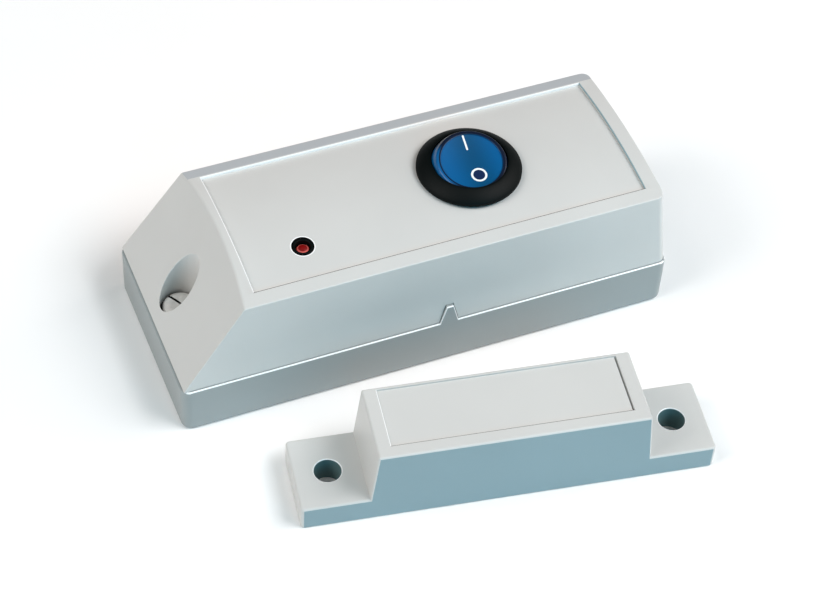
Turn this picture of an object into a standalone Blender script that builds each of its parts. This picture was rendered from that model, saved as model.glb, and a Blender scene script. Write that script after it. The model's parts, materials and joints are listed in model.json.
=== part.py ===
"""Door contact sensor: a battery transmitter housing with a rocker switch, and its magnet.

Frame: origin at the middle of the sensor's mounting face, +X along the housing towards its
plain end, -Y towards the magnet, +Z out of the wall. Metres.
"""
import math

import bmesh
import bpy
from mathutils import Matrix, Vector

MM = 0.001

# Fits
FIT = 0.3 * MM
SEAM = 0.15 * MM
THROUGH = 2.0 * MM

# Sensor housing
SENSOR_LENGTH = 112.8 * MM
SENSOR_WIDTH = 44.4 * MM
BASE_HEIGHT = 12.3 * MM
BASE_CORNER = 2.2 * MM
BASE_FOOT_EDGE = 0.9 * MM
WALL = 2.2 * MM
FLOOR = 2.2 * MM
STEP = 0.45 * MM
EDGE_HEIGHT = 32.4 * MM
CROWN_RISE = 2.05 * MM
SIDE_LEAN = 1.15 * MM
END_LEAN = 2.3 * MM
SLANT_RUN = 13.9 * MM
CROWN_STEPS = 14

# Rounded edges of the cover
LONG_EDGE = 1.4 * MM
END_EDGE = 1.0 * MM
CORNER_EDGE = 1.8 * MM
SLANT_TOP_EDGE = 2.4 * MM
SLANT_SIDE_EDGE = 0.7 * MM

# Locating tongue between base and cover
TONGUE_THICKNESS = 0.8 * MM
TONGUE_HEIGHT = 1.4 * MM
TONGUE_START = 7.0 * MM

# Recessed panel on the cover
PANEL_START = 17.6 * MM
PANEL_END = 6.3 * MM
PANEL_SIDE_MARGIN = 5.05 * MM
PANEL_DEPTH = 0.7 * MM

# Alignment mark that rises from the base into the cover
MARK_X = 3.8 * MM
MARK_FOOT = 4.2 * MM
MARK_TOP = 1.6 * MM
MARK_HEIGHT = 4.9 * MM

# Cover screw and its well
WELL_X = 6.8 * MM
WELL_RADIUS = 4.4 * MM
WELL_WALL = 1.4 * MM
WELL_FLOOR = 0.6 * MM
SPIGOT_DEPTH = 2.0 * MM
SCREW_HEAD_HEIGHT = 1.7 * MM
SCREW_RADIUS = 1.45 * MM
SCREW_SLOT = 0.8 * MM
SCREW_BOTTOM = 3.6 * MM
BOSS_WALL = 1.8 * MM

# Snap hooks at the plain end
HOOK_WIDTH = 6.0 * MM
HOOK_THICKNESS = 1.4 * MM
HOOK_REACH = 5.0 * MM
HOOK_NIB = 0.8 * MM
HOOK_Y = 10.5 * MM

# Wall screws through the base
WALL_SCREW_RADIUS = 2.1 * MM
WALL_SINK_RADIUS = 3.6 * MM
WALL_SCREW_LEFT = 42.2 * MM
WALL_SCREW_RIGHT = 50.1 * MM

# Rocker switch
SWITCH_INSET = 40.3 * MM
BEZEL_RADIUS = 11.5 * MM
BEZEL_HEIGHT = 2.8 * MM
BEZEL_EDGE = 1.0 * MM
BEZEL_LIP = 0.4 * MM
BEZEL_MOUTH = 8.2 * MM
BARREL_RADIUS = 9.9 * MM
BARREL_DEPTH = 14.0 * MM
PIVOT_DEPTH = 4.1 * MM
ROCKER_RADIUS = 9.0 * MM
ROCKER_FACE = 4.9 * MM
ROCKER_RIM = 0.8 * MM
ROCKER_SINK = 0.25 * MM
ROCKER_DISH = 0.35 * MM
ROCKER_FLAT = 8.0 * MM
ROCKER_SKIRT = 2.6 * MM
ROCKER_SHELL = 1.3 * MM
ROCKER_TILT = 12.0
TRUNNION_RADIUS = 1.2 * MM
TRUNNION_LENGTH = 1.1 * MM
GUIDE_RADIUS = 2.3 * MM
GUIDE_BORE = 1.5 * MM
GUIDE_DROP = 4.2 * MM
PLUNGER_RADIUS = 1.2 * MM
PLUNGER_REACH = 7.3 * MM
PLUNGER_LENGTH = 4.6 * MM
CHAMBER_LENGTH = 15.0 * MM
CHAMBER_WIDTH = 7.0 * MM
CHAMBER_FLOOR = 1.6 * MM
BAR_LENGTH = 11.6 * MM
BAR_WIDTH = 3.6 * MM
BAR_THICKNESS = 0.6 * MM
BAR_TILT = 6.0
BLADE_WIDTH = 4.8 * MM
BLADE_THICKNESS = 0.8 * MM
BLADE_DROP = 7.0 * MM
BLADE_PITCH = 4.6 * MM
WING_WIDTH = 5.0 * MM
WING_PROUD = 1.0 * MM
WING_DROP = 6.0 * MM

# Indicator lamp
LAMP_INSET = 31.2 * MM
LAMP_SIDE_INSET = 13.3 * MM
LAMP_HOLE = 2.5 * MM
LAMP_RADIUS = 1.5 * MM
LAMP_BODY = 3.8 * MM
LAMP_PROUD = 0.4 * MM
LAMP_LEG_PITCH = 2.54 * MM
LAMP_LEG_RADIUS = 0.25 * MM
LAMP_COLLAR_WALL = 1.3 * MM
LAMP_COLLAR_DEPTH = 3.0 * MM

# Circuit board and what it carries
BOARD_END_ROOM = 16.6 * MM
BOARD_CELL_ROOM = 12.0 * MM
BOARD_SIDE_ROOM = 3.0 * MM
BOARD_THICKNESS = 1.6 * MM
BOARD_STAND = 4.0 * MM
BOARD_FIXING_INSET = 3.6 * MM
POST_RADIUS = 2.8 * MM
PIN_RADIUS = 1.1 * MM
BOARD_SCREW_RADIUS = 1.1 * MM
BOARD_SCREW_HEAD = 2.4 * MM
BOARD_SCREW_HEAD_HEIGHT = 1.4 * MM
REED_LENGTH = 14.0 * MM
REED_RADIUS = 1.2 * MM
REED_LEAD = 0.3 * MM
REED_INSET = 1.9 * MM
REED_STAND = 0.9 * MM
LEAD_TAIL = 1.2 * MM
CHIP_SIZE = (10.0 * MM, 6.0 * MM, 1.7 * MM)
CHIP_PLACE = (-9.0 * MM, 1.5 * MM)
CAN_RADIUS = 4.6 * MM
CAN_HEIGHT = 3.4 * MM
CAN_PLACE = (-26.5 * MM, 4.0 * MM)
CAPACITOR_RADIUS = 2.5 * MM
CAPACITOR_HEIGHT = 5.4 * MM
CAPACITOR_PLACE = (2.0 * MM, 10.5 * MM)
TRANSISTOR_RADIUS = 2.3 * MM
TRANSISTOR_HEIGHT = 4.6 * MM
TRANSISTOR_PLACE = (-17.5 * MM, 11.0 * MM)
ANTENNA_RADIUS = 2.2 * MM
ANTENNA_WIRE = 0.4 * MM
ANTENNA_TURNS = 6
ANTENNA_PITCH = 1.7 * MM
ANTENNA_PLACE = (-13.0 * MM, -10.5 * MM)

# Battery and its contacts
BATTERY_END_ROOM = 16.2 * MM
BATTERY_RADIUS = 5.15 * MM
BATTERY_NUB_RADIUS = 2.3 * MM
BATTERY_NUB_HEIGHT = 0.8 * MM
CRADLE_WIDTH = 14.0 * MM
CRADLE_THICKNESS = 1.6 * MM
CRADLE_SPREAD = 9.0 * MM
CRADLE_LIFT = 1.0 * MM
CONTACT_ROOM = 3.45 * MM
CONTACT_WIDTH = 9.0 * MM
CONTACT_THICKNESS = 0.4 * MM
CONTACT_HEIGHT = 9.5 * MM
CONTACT_POST = 2.2 * MM
CONTACT_TAB = 2.0 * MM
SPRING_LENGTH = 3.6 * MM
SPRING_WIRE = 0.35 * MM
SPRING_TURNS = 3
LEAD_RADIUS = 0.6 * MM

# Magnet
MAGNET_X = 3.6 * MM
MAGNET_Y = -52.4 * MM
MAGNET_TURN = -9.35
MAGNET_LENGTH = 89.0 * MM
MAGNET_WIDTH = 18.3 * MM
EAR_THICKNESS = 6.2 * MM
EAR_LENGTH = 14.45 * MM
BODY_LEAN = 1.35 * MM
MAGNET_HEIGHT = 19.9 * MM
MAGNET_EDGE = 0.5 * MM
EAR_HOLE_RADIUS = 2.9 * MM
EAR_HOLE_INSET = 7.3 * MM
MAGNET_PANEL_END_MARGIN = 3.1 * MM
MAGNET_PANEL_FRONT_MARGIN = 3.0 * MM
MAGNET_PANEL_BACK_MARGIN = 0.8 * MM
MAGNET_PANEL_DEPTH = 0.4 * MM
MAGNET_WALL = 2.2 * MM
PLATE_LEDGE = 1.2 * MM
PLATE_THICKNESS = 1.5 * MM
PLATE_SINK = 0.3 * MM
BAR_MAGNET_HEIGHT = 6.0 * MM
RIB_THICKNESS = 1.5 * MM
RIBS = 3

# Values that follow from the sizes above
HALF_LENGTH = SENSOR_LENGTH / 2
HALF_WIDTH = SENSOR_WIDTH / 2
COVER_FOOT = BASE_HEIGHT + SEAM
COVER_RISE = EDGE_HEIGHT - COVER_FOOT
SIDE_TANGENT = SIDE_LEAN / COVER_RISE
END_TANGENT = END_LEAN / COVER_RISE
FOOT_HALF_WIDTH = HALF_WIDTH - STEP
EDGE_HALF_WIDTH = FOOT_HALF_WIDTH - SIDE_LEAN
CROWN_RADIUS = (EDGE_HALF_WIDTH ** 2 + CROWN_RISE ** 2) / (2 * CROWN_RISE)
CROWN_CENTRE = EDGE_HEIGHT + CROWN_RISE - CROWN_RADIUS
TOP = EDGE_HEIGHT + CROWN_RISE
PANEL_RADIUS = CROWN_RADIUS - PANEL_DEPTH
PANEL_TOP = TOP - PANEL_DEPTH
INNER_END = HALF_LENGTH - WALL
PANEL_WIDTH = SENSOR_WIDTH - 2 * PANEL_SIDE_MARGIN
SWITCH_X = HALF_LENGTH - SWITCH_INSET
LAMP_X = LAMP_INSET - HALF_LENGTH
LAMP_Y = LAMP_SIDE_INSET - HALF_WIDTH
INNER_SIDE = HALF_WIDTH - WALL
SLANT_FOOT = Vector((STEP - HALF_LENGTH, 0, COVER_FOOT))
SLANT_NORMAL = Vector((-COVER_RISE, 0, SLANT_RUN)).normalized()
END_FOOT = Vector((HALF_LENGTH - STEP, 0, COVER_FOOT))
END_NORMAL = Vector((COVER_RISE, 0, END_LEAN)).normalized()

SCREW_X = WELL_X - HALF_LENGTH
SEAT = COVER_FOOT + WELL_FLOOR
SPIGOT_BOTTOM = COVER_FOOT - SPIGOT_DEPTH

BEZEL_FOOT = PANEL_TOP + SEAM
BEZEL_TOP = BEZEL_FOOT + BEZEL_HEIGHT
PIVOT = Vector((SWITCH_X, 0, BEZEL_TOP - PIVOT_DEPTH))
BARREL_FOOT = BEZEL_FOOT - BARREL_DEPTH
CHAMBER_BOTTOM = BARREL_FOOT + CHAMBER_FLOOR
BAR_TOP = PIVOT.z - PLUNGER_REACH - FIT
FULCRUM = Vector((SWITCH_X, 0, BAR_TOP - BAR_THICKNESS))
BLADE_FOOT = BARREL_FOOT - BLADE_DROP

BATTERY_X = INNER_END - BATTERY_END_ROOM
BOARD_LEFT = BOARD_END_ROOM - INNER_END
BOARD_RIGHT = BATTERY_X - BOARD_CELL_ROOM
BOARD_WIDTH = 2 * (INNER_SIDE - BOARD_SIDE_ROOM)
BOARD_FOOT = FLOOR + BOARD_STAND + SEAM
BOARD_TOP = BOARD_FOOT + BOARD_THICKNESS
BOARD_MIDDLE = (BOARD_LEFT + BOARD_RIGHT) / 2
BOARD_LENGTH = BOARD_RIGHT - BOARD_LEFT
FIXING_X = BOARD_LENGTH / 2 - BOARD_FIXING_INSET
FIXING_Y = BOARD_WIDTH / 2 - BOARD_FIXING_INSET

BATTERY_AXIS = FLOOR + CRADLE_LIFT + BATTERY_RADIUS + FIT
CONTACT_PLACE = INNER_SIDE - CONTACT_ROOM
BATTERY_LENGTH = 2 * (CONTACT_PLACE - FIT) - CONTACT_THICKNESS - SPRING_LENGTH - BATTERY_NUB_HEIGHT
BATTERY_FRONT = SPRING_LENGTH + CONTACT_THICKNESS / 2 + FIT - CONTACT_PLACE
BATTERY_BACK = BATTERY_FRONT + BATTERY_LENGTH

BODY_FOOT = MAGNET_LENGTH - 2 * EAR_LENGTH
BODY_TOP = BODY_FOOT - 2 * BODY_LEAN
EAR_HOLE_X = MAGNET_LENGTH / 2 - EAR_HOLE_INSET
MAGNET_PANEL_LENGTH = BODY_TOP - 2 * MAGNET_PANEL_END_MARGIN


def clear_scene():
    for obj in list(bpy.data.objects):
        bpy.data.objects.remove(obj, do_unlink=True)


def new_collection(name):
    collection = bpy.data.collections.new(name)
    bpy.context.scene.collection.children.link(collection)
    return collection


def finish_of(name, colour, roughness, metallic=0.0):
    material = bpy.data.materials.new(name)
    material.use_nodes = True
    shader = material.node_tree.nodes["Principled BSDF"]
    shader.inputs["Base Color"].default_value = (*colour, 1.0)
    shader.inputs["Roughness"].default_value = roughness
    shader.inputs["Metallic"].default_value = metallic
    return material


def mesh_object(name, bm):
    """An object in the cutters' collection, until part_of makes it a piece of the sensor."""
    mesh = bpy.data.meshes.new(name)
    bmesh.ops.recalc_face_normals(bm, faces=bm.faces)
    bm.to_mesh(mesh)
    bm.free()
    obj = bpy.data.objects.new(name, mesh)
    CUTTERS.objects.link(obj)
    obj.hide_render = True
    obj.display_type = "WIRE"
    return obj


def part_of(obj, material, smooth_angle=35):
    """Move an object from the cutters to the parts and give it its material."""
    CUTTERS.objects.unlink(obj)
    PARTS.objects.link(obj)
    obj.hide_render = False
    obj.display_type = "TEXTURED"
    obj.data.materials.clear()
    obj.data.materials.append(material)
    obj.data.shade_smooth()
    obj.data.set_sharp_from_angle(angle=math.radians(smooth_angle))
    return obj


def block(name, low, high):
    """A box between two corners."""
    bm = bmesh.new()
    bmesh.ops.create_cube(bm, size=1.0)
    low, high = Vector(low), Vector(high)
    bmesh.ops.scale(bm, vec=high - low, verts=bm.verts)
    bmesh.ops.translate(bm, vec=(low + high) / 2, verts=bm.verts)
    return mesh_object(name, bm)


def rounded_block(name, low, high, corner, foot_edge=0.0):
    """A box whose upright edges, and if asked whose bottom edges, are rounded."""
    obj = block(name, low, high)
    bm = bmesh.new()
    bm.from_mesh(obj.data)
    upright = [edge for edge in bm.edges if abs(edge.verts[0].co.z - edge.verts[1].co.z) > FIT]
    bmesh.ops.bevel(bm, geom=upright, offset=corner, offset_type="OFFSET", segments=5,
                    profile=0.5, affect="EDGES", clamp_overlap=True)
    if foot_edge:
        foot = [edge for edge in bm.edges if max(vert.co.z for vert in edge.verts) < low[2] + FIT]
        bmesh.ops.bevel(bm, geom=foot, offset=foot_edge, offset_type="OFFSET", segments=3,
                        profile=0.5, affect="EDGES", clamp_overlap=True)
    bm.to_mesh(obj.data)
    bm.free()
    return obj


def rod(name, start, end, radius, end_radius=None, segments=24):
    """A cylinder or cone from one point to another."""
    start, end = Vector(start), Vector(end)
    axis = end - start
    bm = bmesh.new()
    bmesh.ops.create_cone(bm, cap_ends=True, segments=segments, radius1=radius,
                          radius2=radius if end_radius is None else end_radius, depth=axis.length)
    turn = Vector((0, 0, 1)).rotation_difference(axis).to_matrix().to_4x4()
    bmesh.ops.transform(bm, matrix=Matrix.Translation((start + end) / 2) @ turn, verts=bm.verts)
    return mesh_object(name, bm)


def ball(name, centre, radius, segments=32):
    bm = bmesh.new()
    bmesh.ops.create_uvsphere(bm, u_segments=segments, v_segments=segments // 2, radius=radius)
    bmesh.ops.translate(bm, vec=centre, verts=bm.verts)
    return mesh_object(name, bm)


def turned(name, profile, centre, steps=32):
    """A profile of (radius, height) pairs, top to bottom, turned about Z by a Screw modifier."""
    bm = bmesh.new()
    verts = [bm.verts.new((radius, 0, height)) for radius, height in profile]
    for above, below in zip(verts, verts[1:]):
        bm.edges.new((above, below))
    obj = mesh_object(name, bm)
    obj.location = centre
    screw = obj.modifiers.new("turn", "SCREW")
    screw.axis = "Z"
    screw.steps = steps
    screw.render_steps = steps
    screw.use_merge_vertices = True
    screw.merge_threshold = 0.00001
    return obj


PLANES = {
    "along_x": Matrix(((0, 0, 1), (1, 0, 0), (0, 1, 0))).to_4x4(),
    "along_y": Matrix(((1, 0, 0), (0, 0, -1), (0, 1, 0))).to_4x4(),
    "along_z": Matrix.Identity(4),
}


def as_mesh(curve, name, matrix):
    """Turn a curve object into a mesh object, its caps welded, with the matrix applied."""
    holder = bpy.data.objects.new(name + "_curve", curve)
    CUTTERS.objects.link(holder)
    graph = bpy.context.evaluated_depsgraph_get()
    mesh = bpy.data.meshes.new_from_object(holder.evaluated_get(graph))
    bpy.data.objects.remove(holder)
    bpy.data.curves.remove(curve)
    bm = bmesh.new()
    bm.from_mesh(mesh)
    bpy.data.meshes.remove(mesh)
    bmesh.ops.remove_doubles(bm, verts=bm.verts, dist=0.000001)
    bmesh.ops.transform(bm, matrix=matrix, verts=bm.verts)
    return mesh_object(name, bm)


def extruded(name, points, low, high, direction):
    """A closed flat outline, pushed from low to high along X, Y or Z."""
    curve = bpy.data.curves.new(name, "CURVE")
    curve.dimensions = "2D"
    curve.fill_mode = "BOTH"
    curve.extrude = (high - low) / 2
    spline = curve.splines.new("POLY")
    spline.points.add(len(points) - 1)
    for point, (across, up) in zip(spline.points, points):
        point.co = (across, up, 0, 1)
    spline.use_cyclic_u = True
    middle = (low + high) / 2
    along = PLANES[direction].col[2].to_3d()
    if direction == "along_y":
        along = -along
    return as_mesh(curve, name, Matrix.Translation(along * middle) @ PLANES[direction])


def wire(name, points, radius, resolution=1):
    """A round wire or tube with filled ends along straight runs between points."""
    curve = bpy.data.curves.new(name, "CURVE")
    curve.dimensions = "3D"
    curve.bevel_depth = radius
    curve.bevel_resolution = resolution
    curve.use_fill_caps = True
    spline = curve.splines.new("POLY")
    spline.points.add(len(points) - 1)
    for point, place in zip(spline.points, points):
        point.co = (*place, 1)
    return as_mesh(curve, name, Matrix.Identity(4))


def combine(obj, operation, tool):
    boolean = obj.modifiers.new(operation.lower(), "BOOLEAN")
    boolean.operation = operation
    boolean.object = tool
    boolean.solver = "EXACT"
    return obj


def cut(obj, *tools):
    for tool in tools:
        combine(obj, "DIFFERENCE", tool)
    return obj


def join(obj, *tools):
    for tool in tools:
        combine(obj, "UNION", tool)
    return obj


def trim(obj, point, normal):
    """Cut away what lies beyond a plane and close the cut."""
    bm = bmesh.new()
    bm.from_mesh(obj.data)
    bmesh.ops.bisect_plane(bm, geom=[*bm.verts, *bm.edges, *bm.faces], dist=0.0000001,
                           plane_co=point, plane_no=normal, clear_outer=True)
    bmesh.ops.holes_fill(bm, edges=[edge for edge in bm.edges if edge.is_boundary], sides=0)
    bmesh.ops.recalc_face_normals(bm, faces=bm.faces)
    bm.to_mesh(obj.data)
    bm.free()
    return obj


def arc(centre, radius, start, end, steps):
    """Points (across, up) on an arc, its angles in degrees from the across direction."""
    points = []
    for step in range(steps + 1):
        angle = math.radians(start + (end - start) * step / steps)
        points.append((centre[0] + radius * math.cos(angle), centre[1] + radius * math.sin(angle)))
    return points


def panel_height(y):
    """Height of the recessed panel's surface at a distance from the middle line."""
    return CROWN_CENTRE + math.sqrt(PANEL_RADIUS ** 2 - y ** 2)


def crowned_section(inset, bottom):
    """The cover's cross section, set in by a wall, with leaning sides and a crowned top."""
    radius = CROWN_RADIUS - inset
    slope = math.hypot(1.0, SIDE_TANGENT)
    foot = FOOT_HALF_WIDTH - inset * slope
    reach = foot - SIDE_TANGENT * (CROWN_CENTRE - COVER_FOOT)
    half = SIDE_TANGENT * reach
    root = math.sqrt(half ** 2 - slope ** 2 * (reach ** 2 - radius ** 2))
    up = (half + root) / slope ** 2
    across = reach - SIDE_TANGENT * up
    bottom_half = foot - SIDE_TANGENT * (bottom - COVER_FOOT)
    lean = math.degrees(math.asin(across / radius))
    crown = arc((0, CROWN_CENTRE), radius, 90 - lean, 90 + lean, CROWN_STEPS)
    return [(-bottom_half, bottom), (bottom_half, bottom), *crown]


def crowned_form(name, inset, bottom):
    """A solid with the cover's outline, set in by a wall: slanted end, plain end, crowned top."""
    form = extruded(name, crowned_section(inset, bottom), -SENSOR_LENGTH, SENSOR_LENGTH, "along_x")
    trim(form, SLANT_FOOT - SLANT_NORMAL * inset, SLANT_NORMAL)
    trim(form, END_FOOT - END_NORMAL * inset, END_NORMAL)
    return form


def lies_on(edge, point, normal):
    return all(abs((vert.co - point).dot(normal)) < 0.00001 for vert in edge.verts)


def edge_radius(edge):
    """How far an edge of the cover is rounded."""
    height = min(vert.co.z for vert in edge.verts)
    if max(vert.co.z for vert in edge.verts) < COVER_FOOT + FIT:
        return 0.0
    on_slant = lies_on(edge, SLANT_FOOT, SLANT_NORMAL)
    on_end = lies_on(edge, END_FOOT, END_NORMAL)
    on_top = height > EDGE_HEIGHT - FIT
    if on_slant:
        return SLANT_TOP_EDGE if on_top else SLANT_SIDE_EDGE
    if on_end:
        return END_EDGE if on_top else CORNER_EDGE
    runs_along = abs(edge.verts[0].co.y - edge.verts[1].co.y) < 0.00001
    outermost = min(abs(vert.co.y) for vert in edge.verts) > EDGE_HALF_WIDTH - FIT
    if on_top and runs_along and outermost:
        return LONG_EDGE
    return 0.0


def round_cover_edges(form):
    widest = max(LONG_EDGE, END_EDGE, CORNER_EDGE, SLANT_TOP_EDGE, SLANT_SIDE_EDGE)
    bm = bmesh.new()
    bm.from_mesh(form.data)
    bmesh.ops.dissolve_degenerate(bm, dist=0.0000001, edges=bm.edges)
    weight = bm.edges.layers.float.new("bevel_weight_edge")
    for edge in bm.edges:
        edge[weight] = edge_radius(edge) / widest
    bm.to_mesh(form.data)
    bm.free()
    bevel = form.modifiers.new("rounded_edges", "BEVEL")
    bevel.limit_method = "WEIGHT"
    bevel.width = widest
    bevel.segments = 3
    return form


def panel_cutter():
    """What is milled from the crowned top to sink the panel by an even depth."""
    half = PANEL_WIDTH / 2
    lean = math.degrees(math.asin(half / PANEL_RADIUS))
    floor = arc((0, CROWN_CENTRE), PANEL_RADIUS, 90 - lean, 90 + lean, CROWN_STEPS)
    outline = [*floor, (-half, TOP + THROUGH), (half, TOP + THROUGH)]
    return extruded("panel_cutter", outline, PANEL_START - HALF_LENGTH, HALF_LENGTH - PANEL_END, "along_x")


def mark_outline(gap):
    """The alignment mark's tapered outline, wider by a gap for the notch around it."""
    foot, top = MARK_FOOT / 2 + gap, MARK_TOP / 2 + gap
    low, high = BASE_HEIGHT - THROUGH, BASE_HEIGHT + MARK_HEIGHT + gap
    spread = (foot - top) * THROUGH / MARK_HEIGHT
    return [(MARK_X - foot - spread, low), (MARK_X + foot + spread, low),
            (MARK_X + top, high), (MARK_X - top, high)]


def screw_boss():
    """The tube around the screw well, kept inside the slanted end and clear of the base."""
    radius = WELL_RADIUS + WELL_WALL
    boss = rod("cover_boss", (SCREW_X, 0, SPIGOT_BOTTOM), (SCREW_X, 0, TOP), radius, segments=32)
    combine(boss, "INTERSECT", crowned_form("boss_limit", SEAM, SPIGOT_BOTTOM - THROUGH))
    beside_wall = block("boss_side", (-HALF_LENGTH, -radius - THROUGH, SPIGOT_BOTTOM - THROUGH),
                        (FIT - INNER_END, radius + THROUGH, COVER_FOOT))
    return cut(boss, beside_wall)


def cover_hook(name, y):
    """A springy hook on the cover's plain end that snaps into a pocket of the base."""
    outer = INNER_END - FIT
    inner = outer - HOOK_THICKNESS
    low = BASE_HEIGHT - HOOK_REACH
    outline = [(inner, low), (outer, low), (outer + HOOK_NIB, low + HOOK_NIB),
               (outer, low + 2 * HOOK_NIB), (outer, BASE_HEIGHT + TONGUE_HEIGHT + FIT),
               (INNER_END, COVER_FOOT + TONGUE_HEIGHT + 2 * FIT), (INNER_END, COVER_FOOT + HOOK_REACH),
               (inner, COVER_FOOT + HOOK_REACH)]
    return extruded(name, outline, y - HOOK_WIDTH / 2, y + HOOK_WIDTH / 2, "along_y")


def tongue_groove():
    """The rebate inside the cover's lower edge that takes the base's tongue."""
    inset = WALL - TONGUE_THICKNESS - FIT
    groove = block("tongue_groove", (TONGUE_START - HALF_LENGTH - FIT, inset - HALF_WIDTH, COVER_FOOT - THROUGH),
                   (HALF_LENGTH - inset, HALF_WIDTH - inset, BASE_HEIGHT + TONGUE_HEIGHT + FIT))
    return groove


def make_cover(material):
    cover = round_cover_edges(crowned_form("cover", 0.0, COVER_FOOT))
    cut(cover, crowned_form("cover_hollow", WALL, COVER_FOOT - THROUGH), tongue_groove())
    join(cover, screw_boss())
    cut(cover, rod("well", (SCREW_X, 0, SEAT), (SCREW_X, 0, TOP + THROUGH), WELL_RADIUS, segments=40),
        rod("screw_way", (SCREW_X, 0, SPIGOT_BOTTOM - THROUGH), (SCREW_X, 0, TOP), SCREW_RADIUS + FIT, segments=20))
    for name, y in (("hook_front", -HOOK_Y), ("hook_back", HOOK_Y)):
        join(cover, cover_hook(name, y))
    collar_top = panel_height(LAMP_Y)
    collar_radius = LAMP_HOLE + LAMP_COLLAR_WALL
    collar_foot = collar_top - WALL - LAMP_COLLAR_DEPTH
    join(cover, rod("lamp_collar", (LAMP_X, LAMP_Y, collar_foot), (LAMP_X, LAMP_Y, collar_top - WALL / 4), collar_radius))
    notch = extruded("mark_notch", mark_outline(SEAM), -HALF_WIDTH - THROUGH, WALL + 2 * STEP - HALF_WIDTH, "along_y")
    switch_hole = rod("switch_hole", (SWITCH_X, 0, EDGE_HEIGHT - WALL - THROUGH), (SWITCH_X, 0, TOP + THROUGH),
                      BARREL_RADIUS + FIT, segments=48)
    lamp_hole = rod("lamp_hole", (LAMP_X, LAMP_Y, collar_foot - THROUGH), (LAMP_X, LAMP_Y, TOP + THROUGH), LAMP_HOLE)
    cut(cover, panel_cutter(), notch, switch_hole, lamp_hole)
    return part_of(cover, material)


def make_cover_screw(material):
    head = WELL_RADIUS - 2 * FIT
    foot = SEAT + SEAM
    top = foot + SCREW_HEAD_HEIGHT
    profile = [(0, top), (head * 0.62, top - SCREW_HEAD_HEIGHT * 0.12), (head * 0.9, top - SCREW_HEAD_HEIGHT * 0.42),
               (head, foot + SCREW_HEAD_HEIGHT * 0.25), (head, foot), (SCREW_RADIUS, foot),
               (SCREW_RADIUS, SCREW_BOTTOM + 2 * SCREW_RADIUS), (SCREW_RADIUS * 0.3, SCREW_BOTTOM), (0, SCREW_BOTTOM)]
    screw = turned("cover_screw", profile, (SCREW_X, 0, 0))
    slot = block("screw_slot", (-head - THROUGH, -SCREW_SLOT / 2, top - SCREW_HEAD_HEIGHT * 0.55),
                 (head + THROUGH, SCREW_SLOT / 2, top + THROUGH))
    slot.location = (SCREW_X, 0, 0)
    slot.rotation_euler = (0, 0, math.radians(-62))
    return part_of(cut(screw, slot), material)


def board_fixings():
    """The board's four corner fixings: two take screws, two take the base's pins."""
    return {
        "screw_left": (BOARD_MIDDLE - FIXING_X, FIXING_Y),
        "screw_right": (BOARD_MIDDLE + FIXING_X, FIXING_Y),
        "pin_left": (BOARD_MIDDLE - FIXING_X, -FIXING_Y),
        "pin_right": (BOARD_MIDDLE + FIXING_X, -FIXING_Y),
    }


def base_shell():
    base = rounded_block("base_tray", (-HALF_LENGTH, -HALF_WIDTH, 0), (HALF_LENGTH, HALF_WIDTH, BASE_HEIGHT),
                         BASE_CORNER, BASE_FOOT_EDGE)
    hollow = rounded_block("base_hollow", (-INNER_END, -INNER_SIDE, FLOOR),
                           (INNER_END, INNER_SIDE, BASE_HEIGHT + THROUGH), max(BASE_CORNER - WALL / 2, FIT))
    return cut(base, hollow)


def base_tongue():
    """The rim that stands up inside the cover along three sides."""
    start = TONGUE_START - HALF_LENGTH
    outer_x, outer_y = INNER_END + TONGUE_THICKNESS, INNER_SIDE + TONGUE_THICKNESS
    rim = block("tongue", (start, -outer_y, BASE_HEIGHT - THROUGH), (outer_x, outer_y, BASE_HEIGHT + TONGUE_HEIGHT))
    inside = block("tongue_inside", (start - THROUGH, -INNER_SIDE, BASE_HEIGHT - 2 * THROUGH),
                   (INNER_END, INNER_SIDE, BASE_HEIGHT + TONGUE_HEIGHT + THROUGH))
    return cut(rim, inside)


def battery_cradle(name, y):
    """A saddle that the round cell lies in."""
    left, right = BATTERY_X - CRADLE_WIDTH / 2, BATTERY_X + CRADLE_WIDTH / 2
    top = BATTERY_AXIS - BATTERY_RADIUS / 4
    rib = block(name, (left, y - CRADLE_THICKNESS / 2, FLOOR / 2), (right, y + CRADLE_THICKNESS / 2, top))
    saddle = rod(name + "_saddle", (BATTERY_X, y - CRADLE_THICKNESS, BATTERY_AXIS),
                 (BATTERY_X, y + CRADLE_THICKNESS, BATTERY_AXIS), BATTERY_RADIUS + FIT, segments=32)
    return cut(rib, saddle)


def contact_posts(name, y):
    """A pair of grooved posts that hold a battery contact upright by its edges."""
    posts = []
    half = CONTACT_WIDTH / 2
    for side, tag in ((-1, "_a"), (1, "_b")):
        edge = BATTERY_X + side * half
        post = block(name + tag, (edge - CONTACT_POST / 2, y - CONTACT_POST / 2, FLOOR / 2),
                     (edge + CONTACT_POST / 2, y + CONTACT_POST / 2, FLOOR + CONTACT_HEIGHT))
        posts.append(post)
    groove = block(name + "_groove", (BATTERY_X - half - FIT, y - CONTACT_THICKNESS / 2 - FIT, FLOOR),
                   (BATTERY_X + half + FIT, y + CONTACT_THICKNESS / 2 + FIT, FLOOR + CONTACT_HEIGHT + THROUGH))
    return posts, groove


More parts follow.
